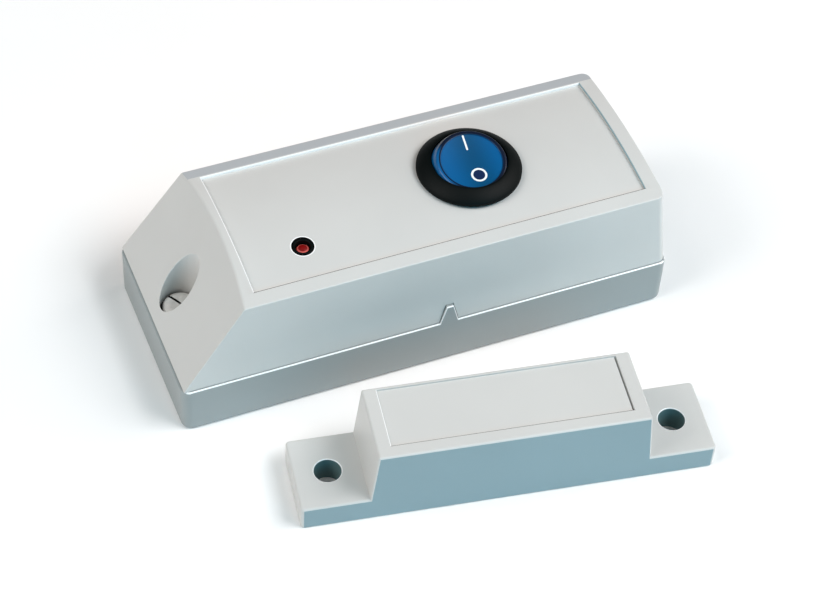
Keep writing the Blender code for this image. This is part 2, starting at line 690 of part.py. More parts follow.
def make_base(material):
    base = base_shell()
    join(base, base_tongue())
    join(base, extruded("mark", mark_outline(0.0), -HALF_WIDTH, TONGUE_THICKNESS + FIT - HALF_WIDTH + STEP, "along_y"))
    boss_top = SPIGOT_BOTTOM - SEAM
    join(base, rod("base_boss", (SCREW_X, 0, FLOOR / 2), (SCREW_X, 0, boss_top), SCREW_RADIUS + FIT + BOSS_WALL))
    pilots = [rod("boss_pilot", (SCREW_X, 0, FLOOR), (SCREW_X, 0, boss_top + THROUGH), SCREW_RADIUS + FIT, segments=20)]
    for name, (x, y) in board_fixings().items():
        join(base, rod("post_" + name, (x, y, FLOOR / 2), (x, y, FLOOR + BOARD_STAND), POST_RADIUS, segments=20))
        if name.startswith("pin"):
            join(base, rod("tip_" + name, (x, y, FLOOR), (x, y, BOARD_TOP + FIT), PIN_RADIUS, segments=16))
        else:
            pilots.append(rod("pilot_" + name, (x, y, FLOOR), (x, y, BOARD_TOP), BOARD_SCREW_RADIUS + FIT, segments=16))
    grooves = []
    for name, y in (("cradle_front", -CRADLE_SPREAD), ("cradle_back", CRADLE_SPREAD)):
        join(base, battery_cradle(name, y))
    for name, y in (("contact_front", -CONTACT_PLACE), ("contact_back", CONTACT_PLACE)):
        posts, groove = contact_posts(name, y)
        join(base, *posts)
        grooves.append(groove)
    cut(base, *pilots, *grooves)
    for name, x in (("wall_left", -WALL_SCREW_LEFT), ("wall_right", WALL_SCREW_RIGHT)):
        cut(base, rod(name, (x, 0, -THROUGH), (x, 0, FLOOR + THROUGH), WALL_SCREW_RADIUS),
            rod(name + "_sink", (x, 0, FLOOR / 3), (x, 0, FLOOR + FIT), WALL_SCREW_RADIUS, WALL_SINK_RADIUS))
    for name, y in (("pocket_front", -HOOK_Y), ("pocket_back", HOOK_Y)):
        half = HOOK_WIDTH / 2 + FIT
        low = BASE_HEIGHT - HOOK_REACH
        cut(base, block(name, (INNER_END - THROUGH, y - half, low - FIT),
                        (INNER_END - FIT + HOOK_NIB + FIT, y + half, low + 2 * HOOK_NIB + FIT)))
    return part_of(base, material)


def snap_wing(name, side):
    """A moulded wedge on the switch barrel that catches under the cover's top."""
    catch = BEZEL_FOOT - WALL - FIT
    root = BARREL_RADIUS - WING_PROUD
    outline = [(side * root, catch), (side * (BARREL_RADIUS + WING_PROUD), catch),
               (side * BARREL_RADIUS, catch - WING_DROP), (side * root, catch - WING_DROP)]
    wing = extruded(name, outline, SWITCH_X - WING_WIDTH / 2, SWITCH_X + WING_WIDTH / 2, "along_x")
    return wing


def make_switch_body(material):
    """Bezel, barrel and terminal floor, moulded in one."""
    lip = BEZEL_MOUTH + BEZEL_LIP
    slope = BEZEL_HEIGHT - BEZEL_EDGE
    profile = [(0, BEZEL_TOP), (lip, BEZEL_TOP)]
    profile += [(lip + (BEZEL_RADIUS - lip) * 0.5, BEZEL_TOP - slope * 0.3),
                (BEZEL_RADIUS - BEZEL_EDGE * 0.4, BEZEL_TOP - slope * 0.8),
                (BEZEL_RADIUS, BEZEL_FOOT + BEZEL_EDGE * 0.7), (BEZEL_RADIUS, BEZEL_FOOT),
                (BARREL_RADIUS, BEZEL_FOOT), (BARREL_RADIUS, BARREL_FOOT), (0, BARREL_FOOT)]
    body = turned("switch_body", profile, (SWITCH_X, 0, 0), steps=48)
    bowl = ball("rocker_bowl", PIVOT, ROCKER_RADIUS + FIT, segments=40)
    slab = block("bowl_limit", (-ROCKER_FLAT - FIT + SWITCH_X, -BEZEL_RADIUS, PIVOT.z - ROCKER_RADIUS * 0.62),
                 (ROCKER_FLAT + FIT + SWITCH_X, BEZEL_RADIUS, BEZEL_TOP + THROUGH))
    combine(bowl, "INTERSECT", slab)
    mouth = rod("mouth", (SWITCH_X, 0, PIVOT.z + PIVOT_DEPTH * 0.55), (SWITCH_X, 0, BEZEL_TOP + THROUGH), BEZEL_MOUTH, segments=48)
    chamber = block("chamber", (SWITCH_X - CHAMBER_WIDTH / 2, -CHAMBER_LENGTH / 2, CHAMBER_BOTTOM),
                    (SWITCH_X + CHAMBER_WIDTH / 2, CHAMBER_LENGTH / 2, PIVOT.z))
    pin_reach = ROCKER_FLAT + TRUNNION_LENGTH + FIT
    pins = rod("trunnion_bore", (SWITCH_X - pin_reach, 0, PIVOT.z), (SWITCH_X + pin_reach, 0, PIVOT.z),
               TRUNNION_RADIUS + FIT, segments=20)
    join(body, snap_wing("wing_front", -1), snap_wing("wing_back", 1))
    cut(body, bowl, mouth, chamber, pins)
    for name, y in (("slot_common", 0.0), ("slot_switched", -BLADE_PITCH)):
        half_x, half_y = BLADE_WIDTH / 2 + FIT, BLADE_THICKNESS / 2 + FIT
        cut(body, block(name, (SWITCH_X - half_x, y - half_y, BARREL_FOOT - THROUGH),
                        (SWITCH_X + half_x, y + half_y, CHAMBER_BOTTOM + THROUGH)))
    return part_of(body, material)


def on_pivot(obj, pivot, tilt):
    """Put an object's origin on its axis along X and turn it there."""
    obj.data.transform(Matrix.Translation(-pivot))
    obj.location = pivot
    obj.rotation_euler = (math.radians(tilt), 0, 0)
    return obj


def about_pivot(tool, parent):
    """Let a cutter that is drawn about the pivot follow the piece that it cuts."""
    tool.parent = parent
    return tool


def make_rocker(material):
    """A rocker cut from a ball about its pivot: dished face, flat cheeks, hollow underside."""
    rocker = ball("rocker", PIVOT, ROCKER_RADIUS, segments=40)
    trim(rocker, PIVOT + Vector((0, 0, ROCKER_FACE)), Vector((0, 0, 1)))
    trim(rocker, PIVOT - Vector((0, 0, ROCKER_SKIRT)), Vector((0, 0, -1)))
    for side in (-1, 1):
        trim(rocker, PIVOT + Vector((side * ROCKER_FLAT, 0, 0)), Vector((side, 0, 0)))
    on_pivot(rocker, PIVOT, ROCKER_TILT)
    face_radius = math.sqrt(ROCKER_RADIUS ** 2 - ROCKER_FACE ** 2) - ROCKER_RIM
    dish_radius = (face_radius ** 2 + ROCKER_DISH ** 2) / (2 * ROCKER_DISH)
    dish_centre = ROCKER_FACE - ROCKER_SINK - ROCKER_DISH + dish_radius
    lean = math.degrees(math.asin(face_radius / dish_radius))
    bowl = [(max(across, 0.0), up) for across, up in arc((0, dish_centre), dish_radius, 270 + lean, 270, 5)]
    dish = turned("dish", [(0, ROCKER_RADIUS), (face_radius, ROCKER_RADIUS), *bowl], (0, 0, 0), steps=40)
    shell = ROCKER_RADIUS - ROCKER_SHELL
    hollow = ball("rocker_hollow", (0, 0, 0), shell, segments=28)
    limit = block("hollow_limit", (ROCKER_SHELL - ROCKER_FLAT, -shell, -ROCKER_RADIUS),
                  (ROCKER_FLAT - ROCKER_SHELL, shell, ROCKER_FACE - ROCKER_SINK - ROCKER_DISH - ROCKER_SHELL))
    combine(hollow, "INTERSECT", limit)
    guide = rod("guide", (0, 0, -GUIDE_DROP), (0, 0, ROCKER_FACE - ROCKER_SHELL), GUIDE_RADIUS, segments=20)
    bore = rod("guide_bore", (0, 0, -GUIDE_DROP - THROUGH), (0, 0, ROCKER_FACE - 2 * ROCKER_SHELL), GUIDE_BORE, segments=20)
    reach = ROCKER_FLAT + TRUNNION_LENGTH
    stubs = [rod("stub_left", (-reach, 0, 0), (ROCKER_SHELL / 2 - ROCKER_FLAT, 0, 0), TRUNNION_RADIUS, segments=16),
             rod("stub_right", (ROCKER_FLAT - ROCKER_SHELL / 2, 0, 0), (reach, 0, 0), TRUNNION_RADIUS, segments=16)]
    for tool in (dish, hollow, limit, guide, bore, *stubs):
        about_pivot(tool, rocker)
    cut(rocker, dish, hollow)
    join(rocker, guide, *stubs)
    cut(rocker, bore)
    return part_of(rocker, material)


def make_plunger(material):
    """The round-nosed pin that slides in the rocker's guide and presses the contact bar."""
    nose = PLUNGER_RADIUS
    profile = [(0, PLUNGER_LENGTH - PLUNGER_REACH), (nose, PLUNGER_LENGTH - PLUNGER_REACH)]
    for across, up in arc((0, nose - PLUNGER_REACH), nose, 0, -90, 5):
        profile.append((max(across, 0.0), up))
    plunger = turned("rocker_plunger", profile, PIVOT, steps=16)
    plunger.rotation_euler = (math.radians(ROCKER_TILT), 0, 0)
    return part_of(plunger, material)


def helix(radius, turns, height, start, steps=10):
    """Points of a helix about Z, rising from a height."""
    points = []
    for step in range(turns * steps + 1):
        angle = 2 * math.pi * step / steps
        points.append(Vector((radius * math.cos(angle), radius * math.sin(angle),
                              start + height * step / (turns * steps))))
    return points


def make_rocker_spring(material):
    """The coil between the plunger and the closed end of the guide's bore."""
    wire_radius = 0.2 * MM
    low = PLUNGER_LENGTH - PLUNGER_REACH + wire_radius + FIT
    high = ROCKER_FACE - 2 * ROCKER_SHELL - wire_radius - FIT
    coil = wire("rocker_spring", helix(GUIDE_BORE - wire_radius - FIT, 4, high - low, low, 8), wire_radius)
    coil.location = PIVOT
    coil.rotation_euler = (math.radians(ROCKER_TILT), 0, 0)
    return part_of(coil, material, 60)


def make_contact_bar(material):
    """The see-saw that the plunger tips on to the switched terminal."""
    half_x, half_y = BAR_WIDTH / 2, BAR_LENGTH / 2
    bar = block("contact_bar", (-half_x, -half_y, 0), (half_x, half_y, BAR_THICKNESS))
    pad = rod("bar_pad", (0, -BLADE_PITCH, -BAR_THICKNESS * 0.6), (0, -BLADE_PITCH, BAR_THICKNESS / 2), half_x * 0.6, segments=16)
    about_pivot(pad, bar)
    bar.location = FULCRUM
    bar.rotation_euler = (math.radians(-BAR_TILT), 0, 0)
    return part_of(join(bar, pad), material)


def make_terminals(material):
    """Two blades through the switch floor; the common one is the see-saw's fulcrum."""
    half_x, half_y = BLADE_WIDTH / 2, BLADE_THICKNESS / 2
    common = block("terminal_common", (SWITCH_X - half_x, -half_y, BLADE_FOOT), (SWITCH_X + half_x, half_y, FULCRUM.z - FIT))
    drop = BLADE_PITCH * math.sin(math.radians(BAR_TILT)) + BAR_THICKNESS * 0.6
    switched = block("terminal_switched", (SWITCH_X - half_x, -half_y - BLADE_PITCH, BLADE_FOOT),
                     (SWITCH_X + half_x, half_y - BLADE_PITCH, FULCRUM.z - drop - FIT))
    for blade in (common, switched):
        bevel = blade.modifiers.new("eased", "BEVEL")
        bevel.width = BLADE_THICKNESS / 4
        bevel.segments = 1
        part_of(blade, material)


def make_lamp(lens, metal, black):
    """A red lamp on two legs, inside the black tube that stands on the board."""
    top = panel_height(LAMP_Y) + LAMP_PROUD
    shoulder = top - LAMP_RADIUS
    foot = shoulder - LAMP_BODY
    dome = [(LAMP_RADIUS * math.sin(math.radians(a)), shoulder + LAMP_RADIUS * math.cos(math.radians(a)))
            for a in range(0, 91, 15)]
    part_of(turned("indicator_lamp", [*dome, (LAMP_RADIUS, foot), (0, foot)], (LAMP_X, LAMP_Y, 0), steps=24), lens)
    tube_radius = LAMP_HOLE - FIT
    low, high = BOARD_TOP + SEAM, top - LAMP_PROUD
    tube = rod("lamp_tube", (LAMP_X, LAMP_Y, low), (LAMP_X, LAMP_Y, high), tube_radius)
    cut(tube, rod("lamp_seat", (LAMP_X, LAMP_Y, foot - SEAM), (LAMP_X, LAMP_Y, high + THROUGH), LAMP_RADIUS + SEAM))
    for name, side in (("lamp_leg_left", -1), ("lamp_leg_right", 1)):
        x = LAMP_X + side * LAMP_LEG_PITCH / 2
        cut(tube, rod(name + "_way", (x, LAMP_Y, low - THROUGH), (x, LAMP_Y, foot), LAMP_LEG_RADIUS + FIT, segments=12))
        part_of(rod(name, (x, LAMP_Y, BOARD_FOOT - LEAD_TAIL), (x, LAMP_Y, foot - SEAM), LAMP_LEG_RADIUS, segments=10), metal)
    part_of(tube, black)


def board_holes():
    """Centres and radii of the board's holes."""
    holes = [(x, y, BOARD_SCREW_RADIUS + FIT) for x, y in board_fixings().values()]
    holes += [(LAMP_X + side * LAMP_LEG_PITCH / 2, LAMP_Y, LAMP_LEG_RADIUS + FIT) for side in (-1, 1)]
    reed_y = REED_INSET - BOARD_WIDTH / 2
    holes += [(MARK_X + side * reed_reach(), reed_y, REED_LEAD + FIT) for side in (-1, 1)]
    return holes


def make_board(material):
    low = (BOARD_LEFT, -BOARD_WIDTH / 2, BOARD_FOOT)
    high = (BOARD_RIGHT, BOARD_WIDTH / 2, BOARD_TOP)
    board = block("circuit_board", low, high)
    for number, (x, y, radius) in enumerate(board_holes()):
        cut(board, rod(f"board_hole_{number}", (x, y, BOARD_FOOT - THROUGH), (x, y, BOARD_TOP + THROUGH), radius, segments=16))
    return part_of(board, material)


def make_board_screws(material):
    for name in ("screw_left", "screw_right"):
        x, y = board_fixings()[name]
        foot = BOARD_TOP + SEAM
        top = foot + BOARD_SCREW_HEAD_HEIGHT
        profile = [(0, top), (BOARD_SCREW_HEAD * 0.7, top), (BOARD_SCREW_HEAD, foot + BOARD_SCREW_HEAD_HEIGHT / 2),
                   (BOARD_SCREW_HEAD, foot), (BOARD_SCREW_RADIUS, foot), (BOARD_SCREW_RADIUS, FLOOR + 3 * FIT),
                   (0, FLOOR + 2 * FIT)]
        part_of(turned("board_" + name, profile, (x, y, 0), steps=20), material)


def reed_reach():
    """How far from its middle the reed's leads turn down."""
    return REED_LENGTH / 2 + 3 * REED_RADIUS


def make_reed(glass, metal):
    """The reed switch, lying along the front wall behind the alignment mark."""
    y = REED_INSET - BOARD_WIDTH / 2
    z = BOARD_TOP + REED_STAND + REED_RADIUS
    half = REED_LENGTH / 2
    cap = arc((half - REED_RADIUS, 0), REED_RADIUS, 20, 90, 4)
    upper = [(across, up) for up, across in cap]
    profile = [(0, upper[0][1]), *upper]
    profile += [(radius, -height) for radius, height in reversed(profile)]
    tube = turned("reed_switch", profile, (MARK_X, y, z), steps=20)
    tube.rotation_euler = (0, math.radians(90), 0)
    part_of(tube, glass)
    for name, side in (("reed_lead_left", -1), ("reed_lead_right", 1)):
        start = MARK_X + side * (half + SEAM)
        end = MARK_X + side * reed_reach()
        bend = 2 * REED_LEAD
        points = [(start, y, z), (end - side * bend, y, z), (end - side * bend * 0.3, y, z - bend * 0.3),
                  (end, y, z - bend), (end, y, BOARD_FOOT - LEAD_TAIL)]
        part_of(wire(name, points, REED_LEAD), metal, 60)


def make_chip(material):
    x, y = CHIP_PLACE
    length, width, height = CHIP_SIZE
    foot = BOARD_TOP + SEAM
    chip = block("encoder_chip", (x - length / 2, y - width / 2, foot), (x + length / 2, y + width / 2, foot + height))
    bevel = chip.modifiers.new("draft", "BEVEL")
    bevel.width = height / 5
    bevel.segments = 1
    dot = rod("pin_one", (x - length * 0.38, y - width * 0.28, foot + height * 0.8),
              (x - length * 0.38, y - width * 0.28, foot + height + THROUGH), width / 12, segments=12)
    return part_of(cut(chip, dot), material)


def make_resonator(material):
    foot = BOARD_TOP + SEAM
    brim = CAN_RADIUS
    can = CAN_RADIUS * 0.86
    profile = [(0, foot + CAN_HEIGHT), (can * 0.93, foot + CAN_HEIGHT), (can, foot + CAN_HEIGHT * 0.93),
               (can, foot + CAN_HEIGHT * 0.18), (brim, foot + CAN_HEIGHT * 0.14), (brim, foot), (0, foot)]
    return part_of(turned("resonator_can", profile, (*CAN_PLACE, 0), steps=28), material)


def make_capacitor(material):
    foot = BOARD_TOP + SEAM
    top = foot + CAPACITOR_HEIGHT
    waist = foot + CAPACITOR_HEIGHT * 0.12
    profile = [(0, top), (CAPACITOR_RADIUS * 0.9, top), (CAPACITOR_RADIUS, top - CAPACITOR_RADIUS * 0.12),
               (CAPACITOR_RADIUS, waist * 1.06), (CAPACITOR_RADIUS * 0.88, waist), (CAPACITOR_RADIUS, waist * 0.97),
               (CAPACITOR_RADIUS, foot), (0, foot)]
    return part_of(turned("capacitor", profile, (*CAPACITOR_PLACE, 0), steps=24), material)


def make_transistor(material):
    """A half-round moulded package."""
    x, y = TRANSISTOR_PLACE
    flat = 60
    outline = arc((x, y), TRANSISTOR_RADIUS, flat - 90, 270 - flat, 12)
    foot = BOARD_TOP + SEAM
    return part_of(extruded("transistor", outline, foot, foot + TRANSISTOR_HEIGHT, "along_z"), material)


def make_antenna(material):
    """A wound wire aerial that lies along the board."""
    x, y = ANTENNA_PLACE
    z = BOARD_TOP + SEAM + ANTENNA_WIRE + ANTENNA_RADIUS
    length = ANTENNA_TURNS * ANTENNA_PITCH
    points = [Vector((x + point.z, y + point.x, z + point.y))
              for point in helix(ANTENNA_RADIUS, ANTENNA_TURNS, length, -length / 2)]
    return part_of(wire("antenna_coil", points, ANTENNA_WIRE), material, 60)


def make_battery(material):
    """A small 12 V cell with its positive nub towards the back."""
    back, front = BATTERY_BACK, BATTERY_FRONT
    edge = BATTERY_RADIUS * 0.08
    profile = [(0, back + BATTERY_NUB_HEIGHT), (BATTERY_NUB_RADIUS, back + BATTERY_NUB_HEIGHT),
               (BATTERY_NUB_RADIUS, back), (BATTERY_RADIUS - edge, back), (BATTERY_RADIUS, back - edge),
               (BATTERY_RADIUS, front + edge), (BATTERY_RADIUS - edge, front), (0, front)]
    cell = turned("battery", profile, (BATTERY_X, 0, BATTERY_AXIS), steps=32)
    cell.rotation_euler = (math.radians(-90), 0, 0)
    return part_of(cell, material)


def make_contacts(material):
    """The flat plates at the cell's ends and the coil on the front one."""
    half = CONTACT_WIDTH / 2
    for name, y in (("contact_negative", -CONTACT_PLACE), ("contact_positive", CONTACT_PLACE)):
        plate = block(name, (BATTERY_X - half, y - CONTACT_THICKNESS / 2, FLOOR + FIT),
                      (BATTERY_X + half, y + CONTACT_THICKNESS / 2, FLOOR + CONTACT_HEIGHT + CONTACT_TAB))
        part_of(plate, material)
    base = CONTACT_THICKNESS / 2 - CONTACT_PLACE + SPRING_WIRE + SEAM
    tip = BATTERY_FRONT - SPRING_WIRE - SEAM
    points = []
    for step, point in enumerate(helix(1.0, SPRING_TURNS, tip - base, base)):
        radius = BATTERY_RADIUS * (0.55 - 0.25 * step / (SPRING_TURNS * 10))
        points.append(Vector((BATTERY_X + point.x * radius, point.z, BATTERY_AXIS + point.y * radius)))
    part_of(wire("battery_spring", points, SPRING_WIRE), material, 60)


def soft_route(points, steps=4):
    """Points along a smooth curve through the given ones."""
    route = []
    line = [Vector(point) for point in points]
    ends = [2 * line[0] - line[1], *line, 2 * line[-1] - line[-2]]
    for before, start, end, after in zip(ends, ends[1:], ends[2:], ends[3:]):
        for step in range(steps):
            t = step / steps
            route.append(0.5 * (2 * start + (end - before) * t
                                + (2 * before - 5 * start + 4 * end - after) * t ** 2
                                + (3 * start - before - 3 * end + after) * t ** 3))
    return [*route, line[-1]]


def make_leads(red, black, white):
    """The three soft wires between battery, switch and board."""
    beside = LEAD_RADIUS + SEAM
    plate_y = CONTACT_PLACE + CONTACT_THICKNESS / 2 + beside
    plate_x = BATTERY_X - CONTACT_WIDTH / 2 + CONTACT_POST
    wire_z = FLOOR + CONTACT_HEIGHT + CONTACT_TAB / 2
    blade_z = BLADE_FOOT + LEAD_RADIUS
    common_y = BLADE_THICKNESS / 2 + beside
    clear_x = BATTERY_X - BATTERY_RADIUS - 4 * LEAD_RADIUS
    route = [(plate_x, plate_y, wire_z), (clear_x, plate_y - LEAD_RADIUS, wire_z + LEAD_RADIUS),
             (clear_x - LEAD_RADIUS * 3, CONTACT_PLACE / 2, wire_z + LEAD_RADIUS),
             (SWITCH_X + BLADE_WIDTH, common_y + LEAD_RADIUS, blade_z), (SWITCH_X, common_y, blade_z)]
    part_of(wire("lead_positive", soft_route(route), LEAD_RADIUS), red, 60)
    foot = BOARD_TOP + SEAM
    board_x = BOARD_RIGHT - 3 * LEAD_RADIUS
    route = [(plate_x, -plate_y, wire_z), (clear_x, LEAD_RADIUS - plate_y, wire_z + LEAD_RADIUS),
             (board_x, -CONTACT_PLACE / 2, wire_z), (board_x - LEAD_RADIUS, -CONTACT_PLACE / 2 + LEAD_RADIUS, foot)]
    part_of(wire("lead_negative", soft_route(route), LEAD_RADIUS), black, 60)
    switched_y = -BLADE_PITCH - BLADE_THICKNESS / 2 - beside
    route = [(SWITCH_X, switched_y, blade_z), (SWITCH_X - BLADE_WIDTH, switched_y - LEAD_RADIUS, blade_z + LEAD_RADIUS),
             (SWITCH_X - 2 * BLADE_WIDTH, switched_y + LEAD_RADIUS, blade_z - LEAD_RADIUS),
             (SWITCH_X - 2.2 * BLADE_WIDTH, switched_y + LEAD_RADIUS, foot)]
    part_of(wire("lead_switched", soft_route(route), LEAD_RADIUS), white, 60)


def place_magnet(*objects):
    """Hang objects drawn about the magnet's own middle from its place beside the sensor."""
    for obj in objects:
        obj.parent = MAGNET_FRAME


def magnet_side():
    """The magnet housing from the side: two ears and a raised body with leaning ends."""
    ear, foot, top = MAGNET_LENGTH / 2, BODY_FOOT / 2, BODY_TOP / 2
    return [(-ear, 0), (ear, 0), (ear, EAR_THICKNESS), (foot, EAR_THICKNESS), (top, MAGNET_HEIGHT),
            (-top, MAGNET_HEIGHT), (-foot, EAR_THICKNESS), (-ear, EAR_THICKNESS)]


def make_magnet(shell, ferrite):
    half = MAGNET_WIDTH / 2
    housing = extruded("magnet_housing", magnet_side(), -half, half, "along_y")
    bevel = housing.modifiers.new("rounded_edges", "BEVEL")
    bevel.width = MAGNET_EDGE
    bevel.segments = 2
    bevel.limit_method = "ANGLE"
    panel_x, panel_floor = MAGNET_PANEL_LENGTH / 2, MAGNET_HEIGHT - MAGNET_PANEL_DEPTH
    ceiling = panel_floor - MAGNET_WALL
    pocket_x, pocket_y = BODY_TOP / 2 - 1.5 * MAGNET_WALL, half - MAGNET_WALL
    ledge_x, ledge_y = pocket_x + PLATE_LEDGE, pocket_y + PLATE_LEDGE
    plate_top = PLATE_SINK + PLATE_THICKNESS
    tools = [
        block("magnet_panel", (-panel_x, MAGNET_PANEL_FRONT_MARGIN - half, panel_floor),
              (panel_x, half - MAGNET_PANEL_BACK_MARGIN, MAGNET_HEIGHT + THROUGH)),
        block("magnet_pocket", (-pocket_x, -pocket_y, -THROUGH), (pocket_x, pocket_y, ceiling)),
        block("plate_pocket", (-ledge_x, -ledge_y, -THROUGH), (ledge_x, ledge_y, plate_top + SEAM)),
    ]
    tools += [rod("ear_hole", (x, 0, -THROUGH), (x, 0, EAR_THICKNESS + THROUGH), EAR_HOLE_RADIUS, segments=32)
              for x in (-EAR_HOLE_X, EAR_HOLE_X)]
    cut(housing, *tools)
    bar_foot = plate_top + SEAM
    bar_top = bar_foot + BAR_MAGNET_HEIGHT
    for number in range(RIBS):
        x = pocket_x * (2 * (number + 1) / (RIBS + 1) - 1)
        rib = block("magnet_rib", (x - RIB_THICKNESS / 2, -half + MAGNET_WALL / 2, bar_top + SEAM),
                    (x + RIB_THICKNESS / 2, half - MAGNET_WALL / 2, ceiling + MAGNET_WALL / 2))
        tools.append(rib)
        join(housing, rib)
    bar = block("bar_magnet", (FIT - pocket_x, FIT - pocket_y, bar_foot), (pocket_x - FIT, pocket_y - FIT, bar_top))
    plate = block("magnet_plate", (FIT - ledge_x, FIT - ledge_y, PLATE_SINK), (ledge_x - FIT, ledge_y - FIT, plate_top))
    place_magnet(housing, bar, plate, *tools)
    part_of(housing, shell)
    part_of(bar, ferrite)
    part_of(plate, shell)


clear_scene()
PARTS = new_collection("door_contact_sensor")
CUTTERS = new_collection("cutters")
CUTTERS.hide_render = True

MAGNET_FRAME = bpy.data.objects.new("magnet_frame", None)
PARTS.objects.link(MAGNET_FRAME)
MAGNET_FRAME.location = (MAGNET_X, MAGNET_Y, 0)
MAGNET_FRAME.rotation_euler = (0, 0, math.radians(MAGNET_TURN))

WHITE_ABS = finish_of("white_abs", (0.76, 0.77, 0.76), 0.38)
BASE_ABS = finish_of("base_abs", (0.66, 0.69, 0.69), 0.42)
BLACK_NYLON = finish_of("black_nylon", (0.012, 0.014, 0.015), 0.42)
BLUE_PC = finish_of("blue_polycarbonate", (0.0, 0.11, 0.36), 0.2)
RED_EPOXY = finish_of("red_epoxy", (0.42, 0.01, 0.01), 0.12)
ZINC_STEEL = finish_of("zinc_plated_steel", (0.66, 0.66, 0.67), 0.32, 1.0)
BRASS = finish_of("brass", (0.78, 0.58, 0.26), 0.3, 1.0)
TINNED = finish_of("tinned_copper", (0.75, 0.74, 0.72), 0.28, 1.0)
NICKEL = finish_of("nickel_plated_steel", (0.7, 0.68, 0.64), 0.25, 1.0)
SPRING_STEEL = finish_of("spring_steel", (0.55, 0.55, 0.56), 0.35, 1.0)
GREEN_BOARD = finish_of("circuit_laminate", (0.02, 0.14, 0.05), 0.45)
CHIP_BLACK = finish_of("moulded_epoxy", (0.02, 0.02, 0.022), 0.55)
GLASS = finish_of("reed_glass", (0.35, 0.55, 0.42), 0.08)
ALUMINIUM = finish_of("capacitor_sleeve", (0.04, 0.05, 0.09), 0.4)
COPPER = finish_of("enamelled_copper", (0.72, 0.32, 0.14), 0.3, 1.0)
CELL_WRAP = finish_of("cell_wrap", (0.25, 0.26, 0.28), 0.3)
RED_PVC = finish_of("red_wire_sleeve", (0.5, 0.02, 0.02), 0.45)
BLACK_PVC = finish_of("black_wire_sleeve", (0.02, 0.02, 0.02), 0.45)
BLUE_PVC = finish_of("blue_wire_sleeve", (0.03, 0.08, 0.4), 0.45)
FERRITE = finish_of("ferrite", (0.06, 0.055, 0.05), 0.6)

make_base(BASE_ABS)
make_cover(WHITE_ABS)
make_cover_screw(ZINC_STEEL)
make_switch_body(BLACK_NYLON)
make_rocker(BLUE_PC)
make_plunger(BRASS)
make_rocker_spring(SPRING_STEEL)
make_contact_bar(BRASS)
make_terminals(BRASS)
make_lamp(RED_EPOXY, TINNED, BLACK_NYLON)
make_board(GREEN_BOARD)
make_board_screws(ZINC_STEEL)
make_reed(GLASS, TINNED)
make_chip(CHIP_BLACK)
make_resonator(NICKEL)
make_capacitor(ALUMINIUM)
make_transistor(CHIP_BLACK)
make_antenna(COPPER)
make_battery(CELL_WRAP)
make_contacts(NICKEL)
make_leads(RED_PVC, BLACK_PVC, BLUE_PVC)
make_magnet(WHITE_ABS, FERRITE)
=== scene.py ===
"""Door contact sensor and its magnet on a pale studio floor.

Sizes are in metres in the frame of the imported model: the origin is the middle of the sensor's
mounting face, +X runs towards its plain end, -Y towards the magnet and +Z out of the wall.
"""

import json
import logging
import math
from contextlib import contextmanager
from dataclasses import dataclass, field
from enum import Enum
from typing import Callable, Iterator, Sequence

import bpy
from mathutils import Matrix, Vector

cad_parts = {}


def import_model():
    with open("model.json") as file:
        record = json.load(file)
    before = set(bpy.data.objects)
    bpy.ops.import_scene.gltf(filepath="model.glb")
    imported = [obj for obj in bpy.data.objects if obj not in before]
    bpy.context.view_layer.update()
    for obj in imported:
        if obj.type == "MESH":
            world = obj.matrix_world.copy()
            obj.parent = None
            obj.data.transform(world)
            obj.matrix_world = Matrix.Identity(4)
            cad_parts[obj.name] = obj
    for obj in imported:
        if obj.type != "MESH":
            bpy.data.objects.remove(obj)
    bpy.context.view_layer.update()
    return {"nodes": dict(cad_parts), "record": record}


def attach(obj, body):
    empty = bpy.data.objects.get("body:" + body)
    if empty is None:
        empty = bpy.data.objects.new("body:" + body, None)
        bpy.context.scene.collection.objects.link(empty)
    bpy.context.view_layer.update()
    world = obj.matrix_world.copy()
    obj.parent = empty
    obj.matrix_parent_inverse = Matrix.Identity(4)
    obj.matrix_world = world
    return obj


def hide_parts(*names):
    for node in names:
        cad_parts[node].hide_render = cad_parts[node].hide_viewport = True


LOG = logging.getLogger("door_sensor")
MM = 0.001
# The gap between two pieces that meet, the play of a fit, and how far a cutting tool reaches past.
SEAM = 0.15 * MM
FIT = 0.3 * MM
PAST = 2.0 * MM
# How close two heights, and two points of a face, have to be to count as one.
LEVEL = 1e-6
NEAR = 1e-5
# Vertices closer than this are welded.
WELD = 1e-7

WELL_X = -49.6 * MM
LAMP_X, LAMP_Y = -25.2 * MM, -8.9 * MM
SWITCH_X, SWITCH_Z = 16.1 * MM, 32.6 * MM
SWITCH_TILT = 12.0
# Half the length and half the width of the base.
BASE_LENGTH, BASE_WIDTH = 56.4 * MM, 22.2 * MM

Point = tuple[float, float, float]
Pair = tuple[float, float]
Colour = tuple[float, float, float, float]
Object = bpy.types.Object
Material = bpy.types.Material
Node = bpy.types.Node
Socket = bpy.types.NodeSocket
Tree = bpy.types.NodeTree
# A test on two points of an edge, or on the centre and the normal of a face.
Test = Callable[[Vector, Vector], bool]


class Along(Enum):
    """The direction in which a flat outline is pushed, as its across, up and push axes."""

    X = ((0, 1, 0), (0, 0, 1), (1, 0, 0))
    Y = ((1, 0, 0), (0, 0, 1), (0, 1, 0))
    Z = ((1, 0, 0), (0, 1, 0), (0, 0, 1))

    def place(self, across: float, up: float, push: float) -> Vector:
        """The point at these distances along the direction's three axes."""
        a, u, p = (Vector(axis) for axis in self.value)
        return a * across + u * up + p * push


class Bool(Enum):
    """How one piece is combined with another."""

    CUT = "DIFFERENCE"
    JOIN = "UNION"
    KEEP = "INTERSECT"


